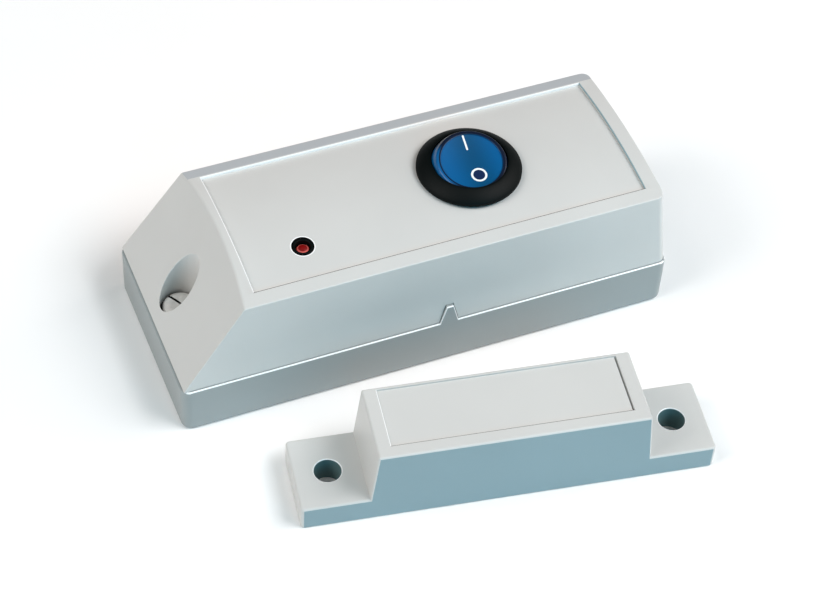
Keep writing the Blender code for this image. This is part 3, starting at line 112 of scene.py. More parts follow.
def arc(centre: Pair, radius: float, start: float, end: float, steps: int) -> list[Pair]:
    """Points on an arc.

    Args:
        centre: the arc's centre.
        radius: its radius.
        start: first angle in degrees from the first axis.
        end: last angle in degrees.
        steps: number of straight runs.

    Returns:
        The points from start to end.
    """
    angles = [math.radians(start + (end - start) * step / steps) for step in range(steps + 1)]
    return [(centre[0] + radius * math.cos(a), centre[1] + radius * math.sin(a)) for a in angles]


def only(obj: Object) -> None:
    """Select one object alone and make it active."""
    bpy.ops.object.select_all(action="DESELECT")
    obj.select_set(True)
    bpy.context.view_layer.objects.active = obj


@contextmanager
def editing() -> Iterator[None]:
    """Edit the whole of the active mesh and go back to object mode."""
    bpy.ops.object.mode_set(mode="EDIT")
    bpy.ops.mesh.select_mode(type="VERT")
    bpy.ops.mesh.select_all(action="SELECT")
    yield
    bpy.ops.object.mode_set(mode="OBJECT")


def both(test: Callable[[Vector], bool]) -> Test:
    """The test of an edge whose two ends have to pass a test."""
    return lambda a, b: test(a) and test(b)


def sloped(normal: Vector) -> bool:
    """Whether a face is neither level nor upright, as on the rounding of a rim."""
    return 0.1 < normal.z < 0.97


@dataclass
class Workpiece:
    """One mesh on the bench, shaped with the modelling operators."""

    obj: Object

    @classmethod
    def _take(cls, name: str) -> "Workpiece":
        """The object that an operator has just added, named, with its place in its mesh."""
        obj = bpy.context.active_object
        obj.name = name
        obj.data.name = name
        bpy.ops.object.transform_apply(location=True, rotation=True, scale=True)
        return cls(obj)

    @classmethod
    def block(cls, name: str, low: Point, high: Point) -> "Workpiece":
        """A block between two corners.

        Args:
            name: the piece's name.
            low: its lowest corner.
            high: its highest corner.

        Returns:
            The workpiece.
        """
        bpy.ops.object.select_all(action="DESELECT")
        bpy.ops.mesh.primitive_cube_add(size=1.0, location=(Vector(low) + Vector(high)) / 2)
        bpy.context.active_object.scale = Vector(high) - Vector(low)
        return cls._take(name)

    @classmethod
    def slab(cls, name: str, place: Pair, half: Pair, low: float, high: float) -> "Workpiece":
        """A block centred on a place, from one height to another."""
        (x, y), (across, along) = place, half
        return cls.block(name, (x - across, y - along, low), (x + across, y + along, high))

    @classmethod
    def rod(cls, name: str, start: Point, end: Point, radius: float, tip: float | None = None,
            sides: int = 64) -> "Workpiece":
        """A round bar or cone from one point to another.

        Args:
            name: the piece's name.
            start: centre of its first end.
            end: centre of its last end.
            radius: radius at the start.
            tip: radius at the end, the same if left out.
            sides: number of sides.

        Returns:
            The workpiece.
        """
        run = Vector(end) - Vector(start)
        turn = Vector((0, 0, 1)).rotation_difference(run).to_euler()
        bpy.ops.object.select_all(action="DESELECT")
        bpy.ops.mesh.primitive_cone_add(
            vertices=sides, radius1=radius, radius2=radius if tip is None else tip, depth=run.length,
            location=(Vector(start) + Vector(end)) / 2, rotation=turn)
        return cls._take(name)

    @classmethod
    def post(cls, name: str, place: Pair, low: float, high: float, radius: float, tip: float | None = None,
             sides: int = 64) -> "Workpiece":
        """An upright bar or cone at a place, from one height to another."""
        return cls.rod(name, (*place, low), (*place, high), radius, tip, sides)

    @classmethod
    def ball(cls, name: str, centre: Point, radius: float, sides: int = 96) -> "Workpiece":
        """A ball with its poles up and down."""
        bpy.ops.object.select_all(action="DESELECT")
        bpy.ops.mesh.primitive_uv_sphere_add(segments=sides, ring_count=sides // 2, radius=radius,
                                             location=centre)
        return cls._take(name)

    @classmethod
    def chain(cls, name: str, points: Sequence[Vector], closed: bool) -> "Workpiece":
        """An outline drawn by extruding one vertex from point to point.

        Args:
            name: the piece's name.
            points: the corners of the outline in order.
            closed: whether the last point joins the first.

        Returns:
            The workpiece, still only edges.
        """
        bpy.ops.object.select_all(action="DESELECT")
        bpy.ops.mesh.primitive_plane_add(size=MM)
        piece = cls._take(name)
        route = [*points, points[0]] if closed else list(points)
        with editing():
            bpy.ops.mesh.merge(type="CENTER")
            bpy.ops.transform.translate(value=points[0])
            for here, there in zip(route, route[1:]):
                bpy.ops.mesh.extrude_region_move(TRANSFORM_OT_translate={"value": there - here})
            bpy.ops.mesh.select_all(action="SELECT")
            bpy.ops.mesh.remove_doubles(threshold=WELD)
        return piece

    @classmethod
    def pushed(cls, name: str, outline: Sequence[Pair], low: float, high: float, along: Along) -> "Workpiece":
        """A closed outline, filled and extruded into a solid.

        Args:
            name: the piece's name.
            outline: (across, up) corners.
            low: where the push starts.
            high: where it ends.
            along: its direction.

        Returns:
            The workpiece.
        """
        piece = cls.chain(name, [along.place(a, u, low) for a, u in outline], True)
        with editing():
            bpy.ops.mesh.edge_face_add()
            bpy.ops.mesh.extrude_region_move(TRANSFORM_OT_translate={"value": along.place(0, 0, high - low)})
            bpy.ops.mesh.select_all(action="SELECT")
            bpy.ops.mesh.normals_make_consistent(inside=False)
        return piece

    @classmethod
    def spun(cls, name: str, profile: Sequence[Pair], centre: Point, steps: int = 96) -> "Workpiece":
        """A (radius, height) profile spun once round an upright axis.

        Args:
            name: the piece's name.
            profile: points from the top of the axis round the outside to its foot.
            centre: a point on the axis, from which heights count.
            steps: number of runs round.

        Returns:
            The workpiece.
        """
        piece = cls.chain(name, [Vector(centre) + Vector((r, 0, h)) for r, h in profile], False)
        with editing():
            bpy.ops.mesh.spin(steps=steps, angle=2 * math.pi, center=centre, axis=(0, 0, 1))
            bpy.ops.mesh.select_all(action="SELECT")
            bpy.ops.mesh.remove_doubles(threshold=WELD)
            bpy.ops.mesh.normals_make_consistent(inside=False)
        return piece

    def slice(self, point: Vector, normal: Vector) -> "Workpiece":
        """Saw off what lies beyond a plane and close the cut."""
        only(self.obj)
        with editing():
            bpy.ops.mesh.bisect(plane_co=point, plane_no=normal, use_fill=True, clear_outer=True,
                                threshold=WELD)
        return self

    def ease(self, chosen: Test, width: float, segments: int = 4) -> "Workpiece":
        """Round the edges that a test on their two ends picks.

        Args:
            chosen: the test.
            width: how far the rounding reaches.
            segments: its number of faces.

        Returns:
            The same workpiece.
        """
        mesh = self.obj.data
        only(self.obj)
        bpy.ops.object.mode_set(mode="EDIT")
        bpy.ops.mesh.select_mode(type="EDGE")
        bpy.ops.mesh.select_all(action="DESELECT")
        bpy.ops.object.mode_set(mode="OBJECT")
        picked = [edge for edge in mesh.edges if chosen(*(mesh.vertices[end].co for end in edge.vertices))]
        for edge in picked:
            edge.select = True
        if not picked:
            LOG.warning("%s: no edge was picked to ease", self.obj.name)
            return self
        bpy.ops.object.mode_set(mode="EDIT")
        bpy.ops.mesh.bevel(offset=width, offset_type="OFFSET", segments=segments, profile=0.5,
                           affect="EDGES", clamp_overlap=True)
        bpy.ops.object.mode_set(mode="OBJECT")
        return self

    def ease_by(self, reach: Callable[[Vector, Vector], float], widest: float,
                segments: int = 6) -> "Workpiece":
        """Round edges by amounts that differ from edge to edge.

        Args:
            reach: the rounding of an edge from its two ends, 0 for none.
            widest: the largest rounding.
            segments: number of faces across it.

        Returns:
            The same workpiece.
        """
        mesh = self.obj.data
        weights = mesh.attributes.new("bevel_weight_edge", "FLOAT", "EDGE")
        for edge in mesh.edges:
            weights.data[edge.index].value = reach(*(mesh.vertices[end].co for end in edge.vertices)) / widest
        bevel = self.obj.modifiers.new("ease", "BEVEL")
        bevel.limit_method = "WEIGHT"
        bevel.width = widest
        bevel.segments = segments
        self._apply(bevel)
        return self

    def _apply(self, modifier: bpy.types.Modifier) -> None:
        """Apply one of the piece's modifiers."""
        only(self.obj)
        bpy.ops.object.modifier_apply(modifier=modifier.name)

    def with_tool(self, how: Bool, tool: "Workpiece") -> "Workpiece":
        """Combine another piece with this one, which uses it up."""
        change = self.obj.modifiers.new("combine", "BOOLEAN")
        change.operation = how.value
        change.solver = "EXACT"
        change.object = tool.obj
        self._apply(change)
        bpy.data.objects.remove(tool.obj)
        return self

    def cut(self, *tools: "Workpiece") -> "Workpiece":
        """Cut other pieces' shapes out of this one."""
        for tool in tools:
            self.with_tool(Bool.CUT, tool)
        return self

    def join(self, *tools: "Workpiece") -> "Workpiece":
        """Grow other pieces on to this one."""
        for tool in tools:
            self.with_tool(Bool.JOIN, tool)
        return self

    def keep(self, tool: "Workpiece") -> "Workpiece":
        """Keep only what lies inside another piece."""
        return self.with_tool(Bool.KEEP, tool)

    def moved(self, matrix: Matrix) -> "Workpiece":
        """Turn and shift the piece, its place staying in its mesh."""
        only(self.obj)
        self.obj.matrix_world = matrix
        bpy.ops.object.transform_apply(location=True, rotation=True, scale=True)
        return self

    def finished(self, material: Material, angle: float = 30.0, weighted: bool = True) -> Object:
        """Shade the piece smooth between its sharp edges and paint it.

        Args:
            material: its finish.
            angle: edges sharper than this many degrees stay crisp.
            weighted: whether large faces decide the shading of their small neighbours.

        Returns:
            The finished object.
        """
        only(self.obj)
        bpy.ops.object.shade_smooth_by_angle(angle=math.radians(angle))
        if weighted:
            level = self.obj.modifiers.new("level", "WEIGHTED_NORMAL")
            level.keep_sharp = True
            level.weight = 60
            self._apply(level)
        self.obj.data.materials.clear()
        self.obj.data.materials.append(material)
        return self.obj


def tint(obj: Object, material: Material, chosen: Test) -> None:
    """Give the faces that a test on centre and normal picks a finish of their own.

    Args:
        obj: the finished object.
        material: the finish.
        chosen: the test.
    """
    obj.data.materials.append(material)
    for face in obj.data.polygons:
        if chosen(face.center, face.normal):
            face.material_index = len(obj.data.materials) - 1


def about(point: Vector, axis: str, degrees: float) -> Matrix:
    """The turn by an angle about an axis through a point."""
    turn = Matrix.Rotation(math.radians(degrees), 4, axis)
    return Matrix.Translation(point) @ turn @ Matrix.Translation(-point)


def linear(colour: str) -> Colour:
    """A colour from its sRGB hex value.

    Args:
        colour: six hex digits.

    Returns:
        The linear colour with full alpha.
    """
    parts = [int(colour[i:i + 2], 16) / 255 for i in (0, 2, 4)]
    flat = [c / 12.92 if c <= 0.04045 else ((c + 0.055) / 1.055) ** 2.4 for c in parts]
    return (flat[0], flat[1], flat[2], 1.0)


def add(tree: Tree, kind: str, settings: dict[str, object] | None = None, **sockets: object) -> Node:
    """Add one shader node.

    Args:
        tree: the material's node tree.
        kind: the node's type.
        settings: its properties by name.
        **sockets: values or output sockets by input name, its spaces written as underscores.

    Returns:
        The node.
    """
    node = tree.nodes.new(kind)
    for name, value in (settings or {}).items():
        setattr(node, name, value)
    for name, value in sockets.items():
        key = int(name[1:]) if name[0] == "i" and name[1:].isdigit() else name.replace("_", " ")
        if isinstance(value, Socket):
            tree.links.new(value, node.inputs[key])
        else:
            node.inputs[key].default_value = value
    return node


def shader_of(material: Material) -> Node:
    """The Principled shader of a material."""
    return material.node_tree.nodes["Principled BSDF"]


def place_on(tree: Tree) -> Socket:
    """The place on the piece, in its object coordinates."""
    return add(tree, "ShaderNodeTexCoord").outputs["Object"]


def calc(tree: Tree, operation: str, *values: float | Socket) -> Socket:
    """The result of a calculation with numbers or sockets."""
    inputs = {f"i{number}": value for number, value in enumerate(values)}
    return add(tree, "ShaderNodeMath", {"operation": operation}, **inputs).outputs["Value"]


def graded(tree: Tree, value: Socket, start: float, end: float, low: float = 0.0, high: float = 1.0,
           smooth: bool = False) -> Socket:
    """A value stretched from one range to another.

    Args:
        tree: the material's node tree.
        value: the value.
        start: where its range starts.
        end: where it ends.
        low: the result at the start.
        high: the result at the end.
        smooth: whether it eases in and out.

    Returns:
        The stretched value.
    """
    kind = {"interpolation_type": "SMOOTHSTEP" if smooth else "LINEAR"}
    return add(tree, "ShaderNodeMapRange", kind, Value=value, From_Min=start, From_Max=end, To_Min=low,
               To_Max=high).outputs["Result"]


def ramp(tree: Tree, value: Socket, *stops: tuple[float, Colour]) -> Socket:
    """Colours that follow a value.

    Args:
        tree: the material's node tree.
        value: the value.
        *stops: each colour with the value at which it stands.

    Returns:
        The colour.
    """
    node = add(tree, "ShaderNodeValToRGB", Fac=value)
    elements = node.color_ramp.elements
    while len(elements) < len(stops):
        elements.new(0.5)
    for element, (place, colour) in zip(elements, stops):
        element.position = place
        element.color = colour
    return node.outputs["Color"]


@dataclass(frozen=True)
class Finish:
    """What every finish shares: a name and the Principled shader's plain values."""

    name: str
    colour: str
    roughness: float
    metallic: float = 0.0
    ior: float = 1.5
    coat: float = 0.0
    coat_roughness: float = 0.1
    transmission: float = 0.0
    subsurface: float = 0.0

    def start(self) -> tuple[Material, Tree, Node]:
        """A new material with its shader's constants set.

        Returns:
            The material, its node tree and its Principled shader.
        """
        material = bpy.data.materials.new(self.name)
        material.use_nodes = True
        shader = shader_of(material)
        values = {
            "Base Color": linear(self.colour), "Roughness": self.roughness, "Metallic": self.metallic,
            "IOR": self.ior, "Coat Weight": self.coat, "Coat Roughness": self.coat_roughness,
            "Transmission Weight": self.transmission, "Subsurface Weight": self.subsurface,
            "Subsurface Radius": (1.2, 1.1, 1.0), "Subsurface Scale": 1.5 * MM,
        }
        for socket, value in values.items():
            shader.inputs[socket].default_value = value
        return material, material.node_tree, shader

    def toned(self, share: float) -> Colour:
        """The finish's colour made lighter or darker by a share."""
        return (*(Vector(linear(self.colour)[:3]) * share), 1)

    def relief(self, tree: Tree, shader: Node, height: Socket, strength: float, depth: float) -> None:
        """Let a pattern stand out of the surface.

        Args:
            tree: the material's node tree.
            shader: its shader.
            height: the pattern.
            strength: how strongly it shows.
            depth: how deep it is.
        """
        bump = add(tree, "ShaderNodeBump", Height=height, Strength=strength, Distance=depth)
        tree.links.new(bump.outputs["Normal"], shader.inputs["Normal"])


@dataclass(frozen=True)
class Moulded(Finish):
    """Injection-moulded plastic: a fine spark-eroded grain and faint clouds of flow."""

    grain: float = 0.25 * MM
    grain_height: float = 0.01 * MM
    clouds: float = 0.02
    roughness_spread: float = 0.08
    cloud_size: float = 22 * MM

    def build(self) -> Material:
        """The material, its grain in the bump and its clouds in colour and gloss."""
        material, tree, shader = self.start()
        place = place_on(tree)
        flow = add(tree, "ShaderNodeTexNoise", Vector=place, Scale=1 / self.cloud_size, Detail=3.0,
                   Roughness=0.5)
        colour = ramp(tree, flow.outputs["Fac"], (0.3, self.toned(1 - self.clouds)),
                      (0.7, self.toned(1 + self.clouds)))
        tree.links.new(colour, shader.inputs["Base Color"])
        grain = add(tree, "ShaderNodeTexNoise", Vector=place, Scale=1 / self.grain, Detail=2.0).outputs["Fac"]
        gloss = graded(tree, grain, 0.0, 1.0, self.roughness - self.roughness_spread,
                       self.roughness + self.roughness_spread)
        tree.links.new(gloss, shader.inputs["Roughness"])
        self.relief(tree, shader, grain, 0.35, self.grain_height)
        return material


@dataclass(frozen=True)
class AxialResin(Moulded):
    """Tinted resin whose colour, painted light and shade included, depends on the place round an axis of the
    piece.
    """

    centre: Point = (0.0, 0.0, 0.0)
    lean: float = 0.0

    def offset(self, tree: Tree) -> Socket:
        """The place on the piece counted from the axis's centre."""
        return add(tree, "ShaderNodeVectorMath", {"operation": "SUBTRACT"}, i0=place_on(tree),
                   i1=self.centre).outputs["Vector"]

    def radius(self, tree: Tree, offset: Socket) -> Socket:
        """The distance from the leaning axis."""
        turn = math.radians(self.lean)
        arm = add(tree, "ShaderNodeVectorMath", {"operation": "CROSS_PRODUCT"}, i0=offset,
                  i1=(0.0, -math.sin(turn), math.cos(turn))).outputs["Vector"]
        return add(tree, "ShaderNodeVectorMath", {"operation": "LENGTH"}, i0=arm).outputs["Value"]


@dataclass(frozen=True)
class LampResin(AxialResin):
    """Tinted epoxy with painted light in circles round its axis: dark in the middle of the dome, with a
    bright painted reflection near its rim.
    """

    centre: Point = (LAMP_X, LAMP_Y, 0.0)
    painted_light_rings: tuple[tuple[float, str], ...] = ((0.9, "7a0a0a"), (1.12, "ff8078"), (1.34, "e83c34"),
                                            (1.62, "a01410"))
    reach: float = 2.0 * MM

    def build(self) -> Material:
        """The material, its colour taken from the rings round the axis."""
        material = super().build()
        tree = material.node_tree
        far = graded(tree, self.radius(tree, self.offset(tree)), 0.0, self.reach)
        colour = ramp(tree, far, *((radius * MM / self.reach, linear(ring)) for radius, ring in self.painted_light_rings))
        tree.links.new(colour, shader_of(material).inputs["Base Color"])
        return material


@dataclass(frozen=True)
class RockerResin(AxialResin):
    """Tinted polycarbonate, blue over the dished face with painted shade: darker down the middle, navy in a
    thin ring round the face and on the rim but at its left.
    """

    centre: Point = (SWITCH_X, 0.0, SWITCH_Z)
    lean: float = SWITCH_TILT
    face_radius: float = 6.75 * MM
    # Painted shade: the middle blue darkens the face down its middle and the deep navy shades the thin ring
    # round the face and the rim.
    middle: str = "004a74"
    side: str = "005a92"
    deep: str = "03132b"
    middle_x: float = 0.8 * MM
    side_x: float = 6.5 * MM
    left_end: Pair = (-6.9 * MM, -4.5 * MM)
    groove: Pair = (0.3 * MM, 0.4 * MM)

    def build(self) -> Material:
        """The material, its colour mixed by the distance from the rocker's own axis."""
        material = super().build()
        tree = material.node_tree
        offset = self.offset(tree)
        far = self.radius(tree, offset)
        across = add(tree, "ShaderNodeSeparateXYZ", Vector=offset).outputs["X"]
        away = calc(tree, "ABSOLUTE", calc(tree, "SUBTRACT", across, self.middle_x))
        face = add(tree, "ShaderNodeMixRGB", Fac=graded(tree, away, 0.0, self.side_x, smooth=True),
                   Color1=linear(self.middle), Color2=linear(self.side))
        # Painted shade in navy: a thin ring just outside the face, and the rim but at its left end.
        rim = graded(tree, far, self.face_radius - 0.05 * MM, self.face_radius + 0.1 * MM)
        shade = graded(tree, across, *self.left_end, smooth=True)
        groove = graded(tree, far, *(self.face_radius + step for step in self.groove), 1.0, 0.0)
        dark = calc(tree, "MULTIPLY", rim, calc(tree, "MAXIMUM", shade, groove))
        whole = add(tree, "ShaderNodeMixRGB", Fac=dark, Color1=face.outputs["Color"],
                    Color2=linear(self.deep))
        tree.links.new(whole.outputs["Color"], shader_of(material).inputs["Base Color"])
        return material


@dataclass(frozen=True)
class Metal(Finish):
    """Plated or drawn metal: fine streaks along one axis with small tarnish clouds."""

    dark: str = "8a8a88"
    streak: Point = (1.0, 1.0, 12.0)
    streak_width: float = 0.12 * MM
    tarnish_size: float = 1.8 * MM

    def build(self) -> Material:
        """The material, streaked in gloss and bump and clouded in colour."""
        material, tree, shader = self.start()
        place = place_on(tree)
        turned = add(tree, "ShaderNodeMapping", Vector=place, Scale=tuple(1 / s for s in self.streak))
        lines = add(tree, "ShaderNodeTexNoise", Vector=turned.outputs["Vector"], Scale=1 / self.streak_width,
                    Detail=3.0).outputs["Fac"]
        clouds = add(tree, "ShaderNodeTexNoise", Vector=place, Scale=1 / self.tarnish_size, Detail=4.0)
        colour = ramp(tree, clouds.outputs["Fac"], (0.25, linear(self.dark)), (0.65, linear(self.colour)))
        tree.links.new(colour, shader.inputs["Base Color"])
        gloss = graded(tree, lines, 0.0, 1.0, self.roughness - 0.1, self.roughness + 0.12)
        tree.links.new(gloss, shader.inputs["Roughness"])
        self.relief(tree, shader, lines, 0.3, 0.01 * MM)
        return material


@dataclass(frozen=True)
class Woven(Finish):
    """Glass-fibre laminate under solder mask: the weave shows as a fine crossed relief."""

    pitch: float = 0.9 * MM

    def build(self) -> Material:
        """The material, its weave from two crossed waves."""
        material, tree, shader = self.start()
        place = place_on(tree)
        warp, weft = (add(tree, "ShaderNodeTexWave", {"bands_direction": axis}, Vector=place,
                          Scale=0.3 / self.pitch, Distortion=1.0).outputs["Fac"] for axis in "XY")
        both_ways = calc(tree, "MULTIPLY", warp, weft)
        colour = ramp(tree, both_ways, (0.0, self.toned(0.8)), (1.0, self.toned(1.25)))
        tree.links.new(colour, shader.inputs["Base Color"])
        self.relief(tree, shader, both_ways, 0.2, 0.03 * MM)
        return material


class Palette:
    """The finishes of this sensor, one for each record slot and its printed marks, and the painted highlights
    and shade.
    """

    FINISHES: dict[str, Finish] = {
        # Moulded white ABS: a satin skin that takes soft wide highlights.
        "white_abs": Moulded("moulded_white_abs", "cfcfcc", 0.42, coat=0.12, coat_roughness=0.3),
        # The base is the same resin as the cover, made darker and greyer as painted shade near the floor.
        "base_abs": Moulded("base_abs_painted_shade", "989f9f", 0.46, coat=0.08, coat_roughness=0.35),
        # Black nylon of the switch: near black with a wide dull sheen.
        "black_nylon": Moulded("moulded_black_nylon", "040a0a", 0.55, ior=1.22, grain=0.18 * MM, clouds=0.1),
        # Tinted blue polycarbonate that lets a little light into it, with painted shade: darker down the
        # middle of the face, navy round the face and on the rim.
        "blue_polycarbonate": RockerResin("moulded_blue_polycarbonate", "005a99", 0.34, ior=1.45, coat=0.08,
                                          subsurface=0.1, grain=0.6 * MM, grain_height=0.002 * MM,
                                          clouds=0.06, roughness_spread=0.03),
        # Cast epoxy of the lamp: dull red, so that the bright circle near its rim, a painted reflection,
        # shows more than any highlight.
        "red_epoxy": LampResin("cast_red_epoxy", "7c0d0a", 0.55, ior=1.2, coat=0.05, coat_roughness=0.3,
                               subsurface=0.1, grain=0.7 * MM, grain_height=0.001 * MM, clouds=0.15,
                               roughness_spread=0.02),
        "zinc_plated_steel": Metal("zinc_plated_steel", "ecece8", 0.5, 0.35, dark="c9cac8", streak=(1, 1, 1)),
        "brass": Metal("rolled_brass", "d9b25a", 0.3, 1.0, dark="94702e"),
        "tinned_copper": Metal("tinned_copper", "cfcdc8", 0.3, 1.0, dark="908d86"),
        "nickel_plated_steel": Metal("nickel_plated_steel", "d2cbbd", 0.24, 1.0, dark="98928a"),
        "spring_steel": Metal("drawn_spring_steel", "b0b0b0", 0.34, 1.0, dark="6f6f70"),
        "circuit_laminate": Woven("masked_glass_laminate", "1d5a2c", 0.38, coat=0.3),
        "moulded_epoxy": Moulded("moulded_black_epoxy", "1a1a1c", 0.6, grain=0.12 * MM, clouds=0.12),
        "reed_glass": Moulded("drawn_green_glass", "8fb79a", 0.1, ior=1.52, transmission=0.6, grain=1.5 * MM,
                              grain_height=0.001 * MM, roughness_spread=0.02),
        "capacitor_sleeve": Moulded("shrunk_pvc_sleeve", "20242e", 0.35, coat=0.3),
        "enamelled_copper": Metal("enamelled_copper", "c4713e", 0.26, 1.0, coat=0.5, dark="7c3d1e"),
        "cell_wrap": Moulded("shrunk_cell_film", "5a5d62", 0.28, coat=0.4),
        "red_wire_sleeve": Moulded("extruded_red_pvc", "a81414", 0.45),
        "black_wire_sleeve": Moulded("extruded_black_pvc", "17181a", 0.45),
        "blue_wire_sleeve": Moulded("extruded_blue_pvc", "1d3f96", 0.45),
        "ferrite": Moulded("sintered_ferrite", "3a3836", 0.62, grain=0.3 * MM, grain_height=0.03 * MM,
                           clouds=0.15),
        # Painted highlight on rims and ledges: brighter and glossier than the walls.
        "polished_rim": Moulded("painted_highlight_white_abs", "fbfbfa", 0.25, coat=0.3, clouds=0.01),
        # Painted shade on the magnet's long walls and the panel's right rim: darker and cooler than the
        # white.
        "drawn_wall": Moulded("painted_wall_shade_abs", "8aa3aa", 0.5, coat=0.06, coat_roughness=0.35),
        # Painted shadow lines at the front of a sunk panel: dark and matt, so they read as hair lines.
        "line_shade": Moulded("painted_shadow_line_abs", "16191a", 0.7),
        # Painted shade on the strip behind the panel, which makes it a shade greyer.
        "back_margin": Moulded("painted_margin_shade_abs", "b3b7ba", 0.5, coat=0.05),
        # Painted shade in the ears' bores: a matt darker wall.
        "bore_wall": Moulded("painted_bore_shade_abs", "5c7a7c", 0.6),
        # Painted shade in the screw's slot, round its head and in the lamp's hole: a dull black.
        "slot_shade": Moulded("painted_slot_shade", "0b0b0b", 0.6, grain=0.15 * MM, clouds=0.2),
        # White pad-print ink on the rocker: flat and slightly chalky.
        "mark_ink": Moulded("pad_printed_white_ink", "f4f6f6", 0.5, grain=0.1 * MM, clouds=0.01),
        # The navy ground inside the ring: painted shade on the resin where the ink leaves it.
        "navy_ink": Moulded("painted_navy_shade", "07234c", 0.4, grain=0.1 * MM, clouds=0.05),
    }

    def __init__(self) -> None:
        """Build every material once."""
        self._built = {slot: finish.build() for slot, finish in self.FINISHES.items()}

    def __getitem__(self, slot: str) -> Material:
        """The material of a slot."""
        return self._built[slot]


@dataclass
class Cover:
    """The moulded cover: slanted end, crowned top, sunk panel and screw well."""

    half_length: float = 55.95 * MM
    half_width: float = 21.75 * MM
    foot: float = 12.45 * MM
    edge_height: float = 32.4 * MM
    crown: float = 2.05 * MM
    side_lean: float = 1.15 * MM
    end_lean: float = 2.3 * MM
    slant_run: float = 13.9 * MM
    wall: float = 2.2 * MM
    well_x: float = WELL_X
    well_radius: float = 4.4 * MM
    screw_way: float = 1.75 * MM
    panel: tuple[float, float, float] = (-38.8 * MM, 50.1 * MM, 17.15 * MM)
    panel_depth: float = 0.7 * MM
    switch: Pair = (SWITCH_X, 0.0)
    switch_hole: float = 10.2 * MM
    lamp: Pair = (LAMP_X, LAMP_Y)
    lamp_hole: float = 2.45 * MM
    lamp_face: float = 2.7 * MM
    corner: float = 1.9 * MM
    slant_rim: float = 2.4 * MM
    slant_side: float = 0.7 * MM
    end_rim: float = 1.2 * MM
    long_rim: float = 1.4 * MM
    facets: int = 14
    mark: tuple[float, float, float, float] = (3.8 * MM, 4.2 * MM, 1.6 * MM, 4.9 * MM)

    @property
    def top(self) -> float:
        """Height of the crown's ridge."""
        return self.edge_height + self.crown

    @property
    def rise(self) -> float:
        """Height of the leaning walls."""
        return self.edge_height - self.foot

    @property
    def crown_radius(self) -> float:
        """Radius of the crowned top."""
        edge = self.half_width - self.side_lean
        return (edge ** 2 + self.crown ** 2) / (2 * self.crown)

    @property
    def crown_centre(self) -> float:
        """Height of the crown's centre."""
        return self.edge_height + self.crown - self.crown_radius

    def top_at(self, y: float, sunk: float = 0.0) -> float:
        """Height of the crowned top, or of a surface sunk below it, at a sideways place."""
        return self.crown_centre + math.sqrt((self.crown_radius - sunk) ** 2 - y ** 2)

    def planes(self, inset: float) -> list[tuple[Vector, Vector]]:
        """The slanted and the plain end's planes, moved inwards by an inset."""
        slant = Vector((-self.rise, 0, self.slant_run)).normalized()
        end = Vector((self.rise, 0, self.end_lean)).normalized()
        return [(Vector((-self.half_length, 0, self.foot)) - slant * inset, slant),
                (Vector((self.half_length, 0, self.foot)) - end * inset, end)]

    def form(self, name: str, inset: float, bottom: float) -> Workpiece:
        """The cover's outer form, set in by a wall.

        Args:
            name: the piece's name.
            inset: how far every face is set in.
            bottom: height of its flat foot.

        Returns:
            The closed solid.
        """
        radius = self.crown_radius - inset
        lean = self.side_lean / self.rise
        slope = math.hypot(1.0, lean)
        foot = self.half_width - inset * slope
        reach = foot - lean * (self.crown_centre - self.foot)
        root = math.sqrt((lean * reach) ** 2 - slope ** 2 * (reach ** 2 - radius ** 2))
        across = reach - lean * (lean * reach + root) / slope ** 2
        wide = foot - lean * (bottom - self.foot)
        swing = math.degrees(math.asin(across / radius))
        outline = [(-wide, bottom), (wide, bottom)]
        outline += arc((0, self.crown_centre), radius, 90 - swing, 90 + swing, self.facets)
        piece = Workpiece.pushed(name, outline, -2 * self.half_length, 2 * self.half_length, Along.X)
        for point, normal in self.planes(inset):
            piece.slice(point, normal)
        return piece

    def rounded_form(self) -> Workpiece:
        """The outer form with its corners and edges rounded as moulded."""
        (slant_at, slant), (end_at, end) = self.planes(0.0)
        edge_y = self.half_width - self.side_lean

        def on(plane_at: Vector, normal: Vector, *ends: Vector) -> bool:
            """Whether all points lie on a plane."""
            return all(abs((p - plane_at).dot(normal)) < NEAR for p in ends)

        piece = self.form("cover", 0.0, self.foot)
        piece.ease(lambda a, b: on(end_at, end, a, b) and abs(a.z - b.z) > self.rise / 2, self.corner, 8)

        def reach(a: Vector, b: Vector) -> float:
            """The rounding of an edge."""
            if max(a.z, b.z) < self.foot + FIT:
                return 0.0
            if on(slant_at, slant, a, b):
                return self.slant_rim if min(a.z, b.z) > self.edge_height - FIT else self.slant_side
            if min(a.z, b.z) < self.edge_height - FIT - 0.3 * MM:
                return 0.0
            if min(a.x, b.x) > self.half_length - self.end_lean - 2.3 * MM and abs(a.x - b.x) < 3 * MM:
                return self.end_rim
            if min(abs(a.y), abs(b.y)) > edge_y - FIT and abs(a.y - b.y) < NEAR:
                return self.long_rim
            return 0.0

        return piece.ease_by(reach, self.slant_rim, 8)

    def panel_tool(self) -> Workpiece:
        """The block that sinks the panel, its floor following the crown."""
        left, right, half = self.panel
        radius = self.crown_radius - self.panel_depth
        swing = math.degrees(math.asin(half / radius))
        floor = arc((0, self.crown_centre), radius, 90 - swing, 90 + swing, 64)
        outline = [*floor, (-half, self.top + PAST), (half, self.top + PAST)]
        return Workpiece.pushed("panel_tool", outline, left, right, Along.X)

    def mark_outline(self, gap: float) -> list[Pair]:
        """The outline of the alignment mark, wider by a gap."""
        x, foot, top, height = self.mark
        low = self.foot - PAST
        spread = (foot - top) / 2 * PAST / height
        foot, top = foot / 2 + gap, top / 2 + gap
        high = self.foot - SEAM + height + gap
        return [(x - foot - spread, low), (x + foot + spread, low), (x + top, high), (x - top, high)]

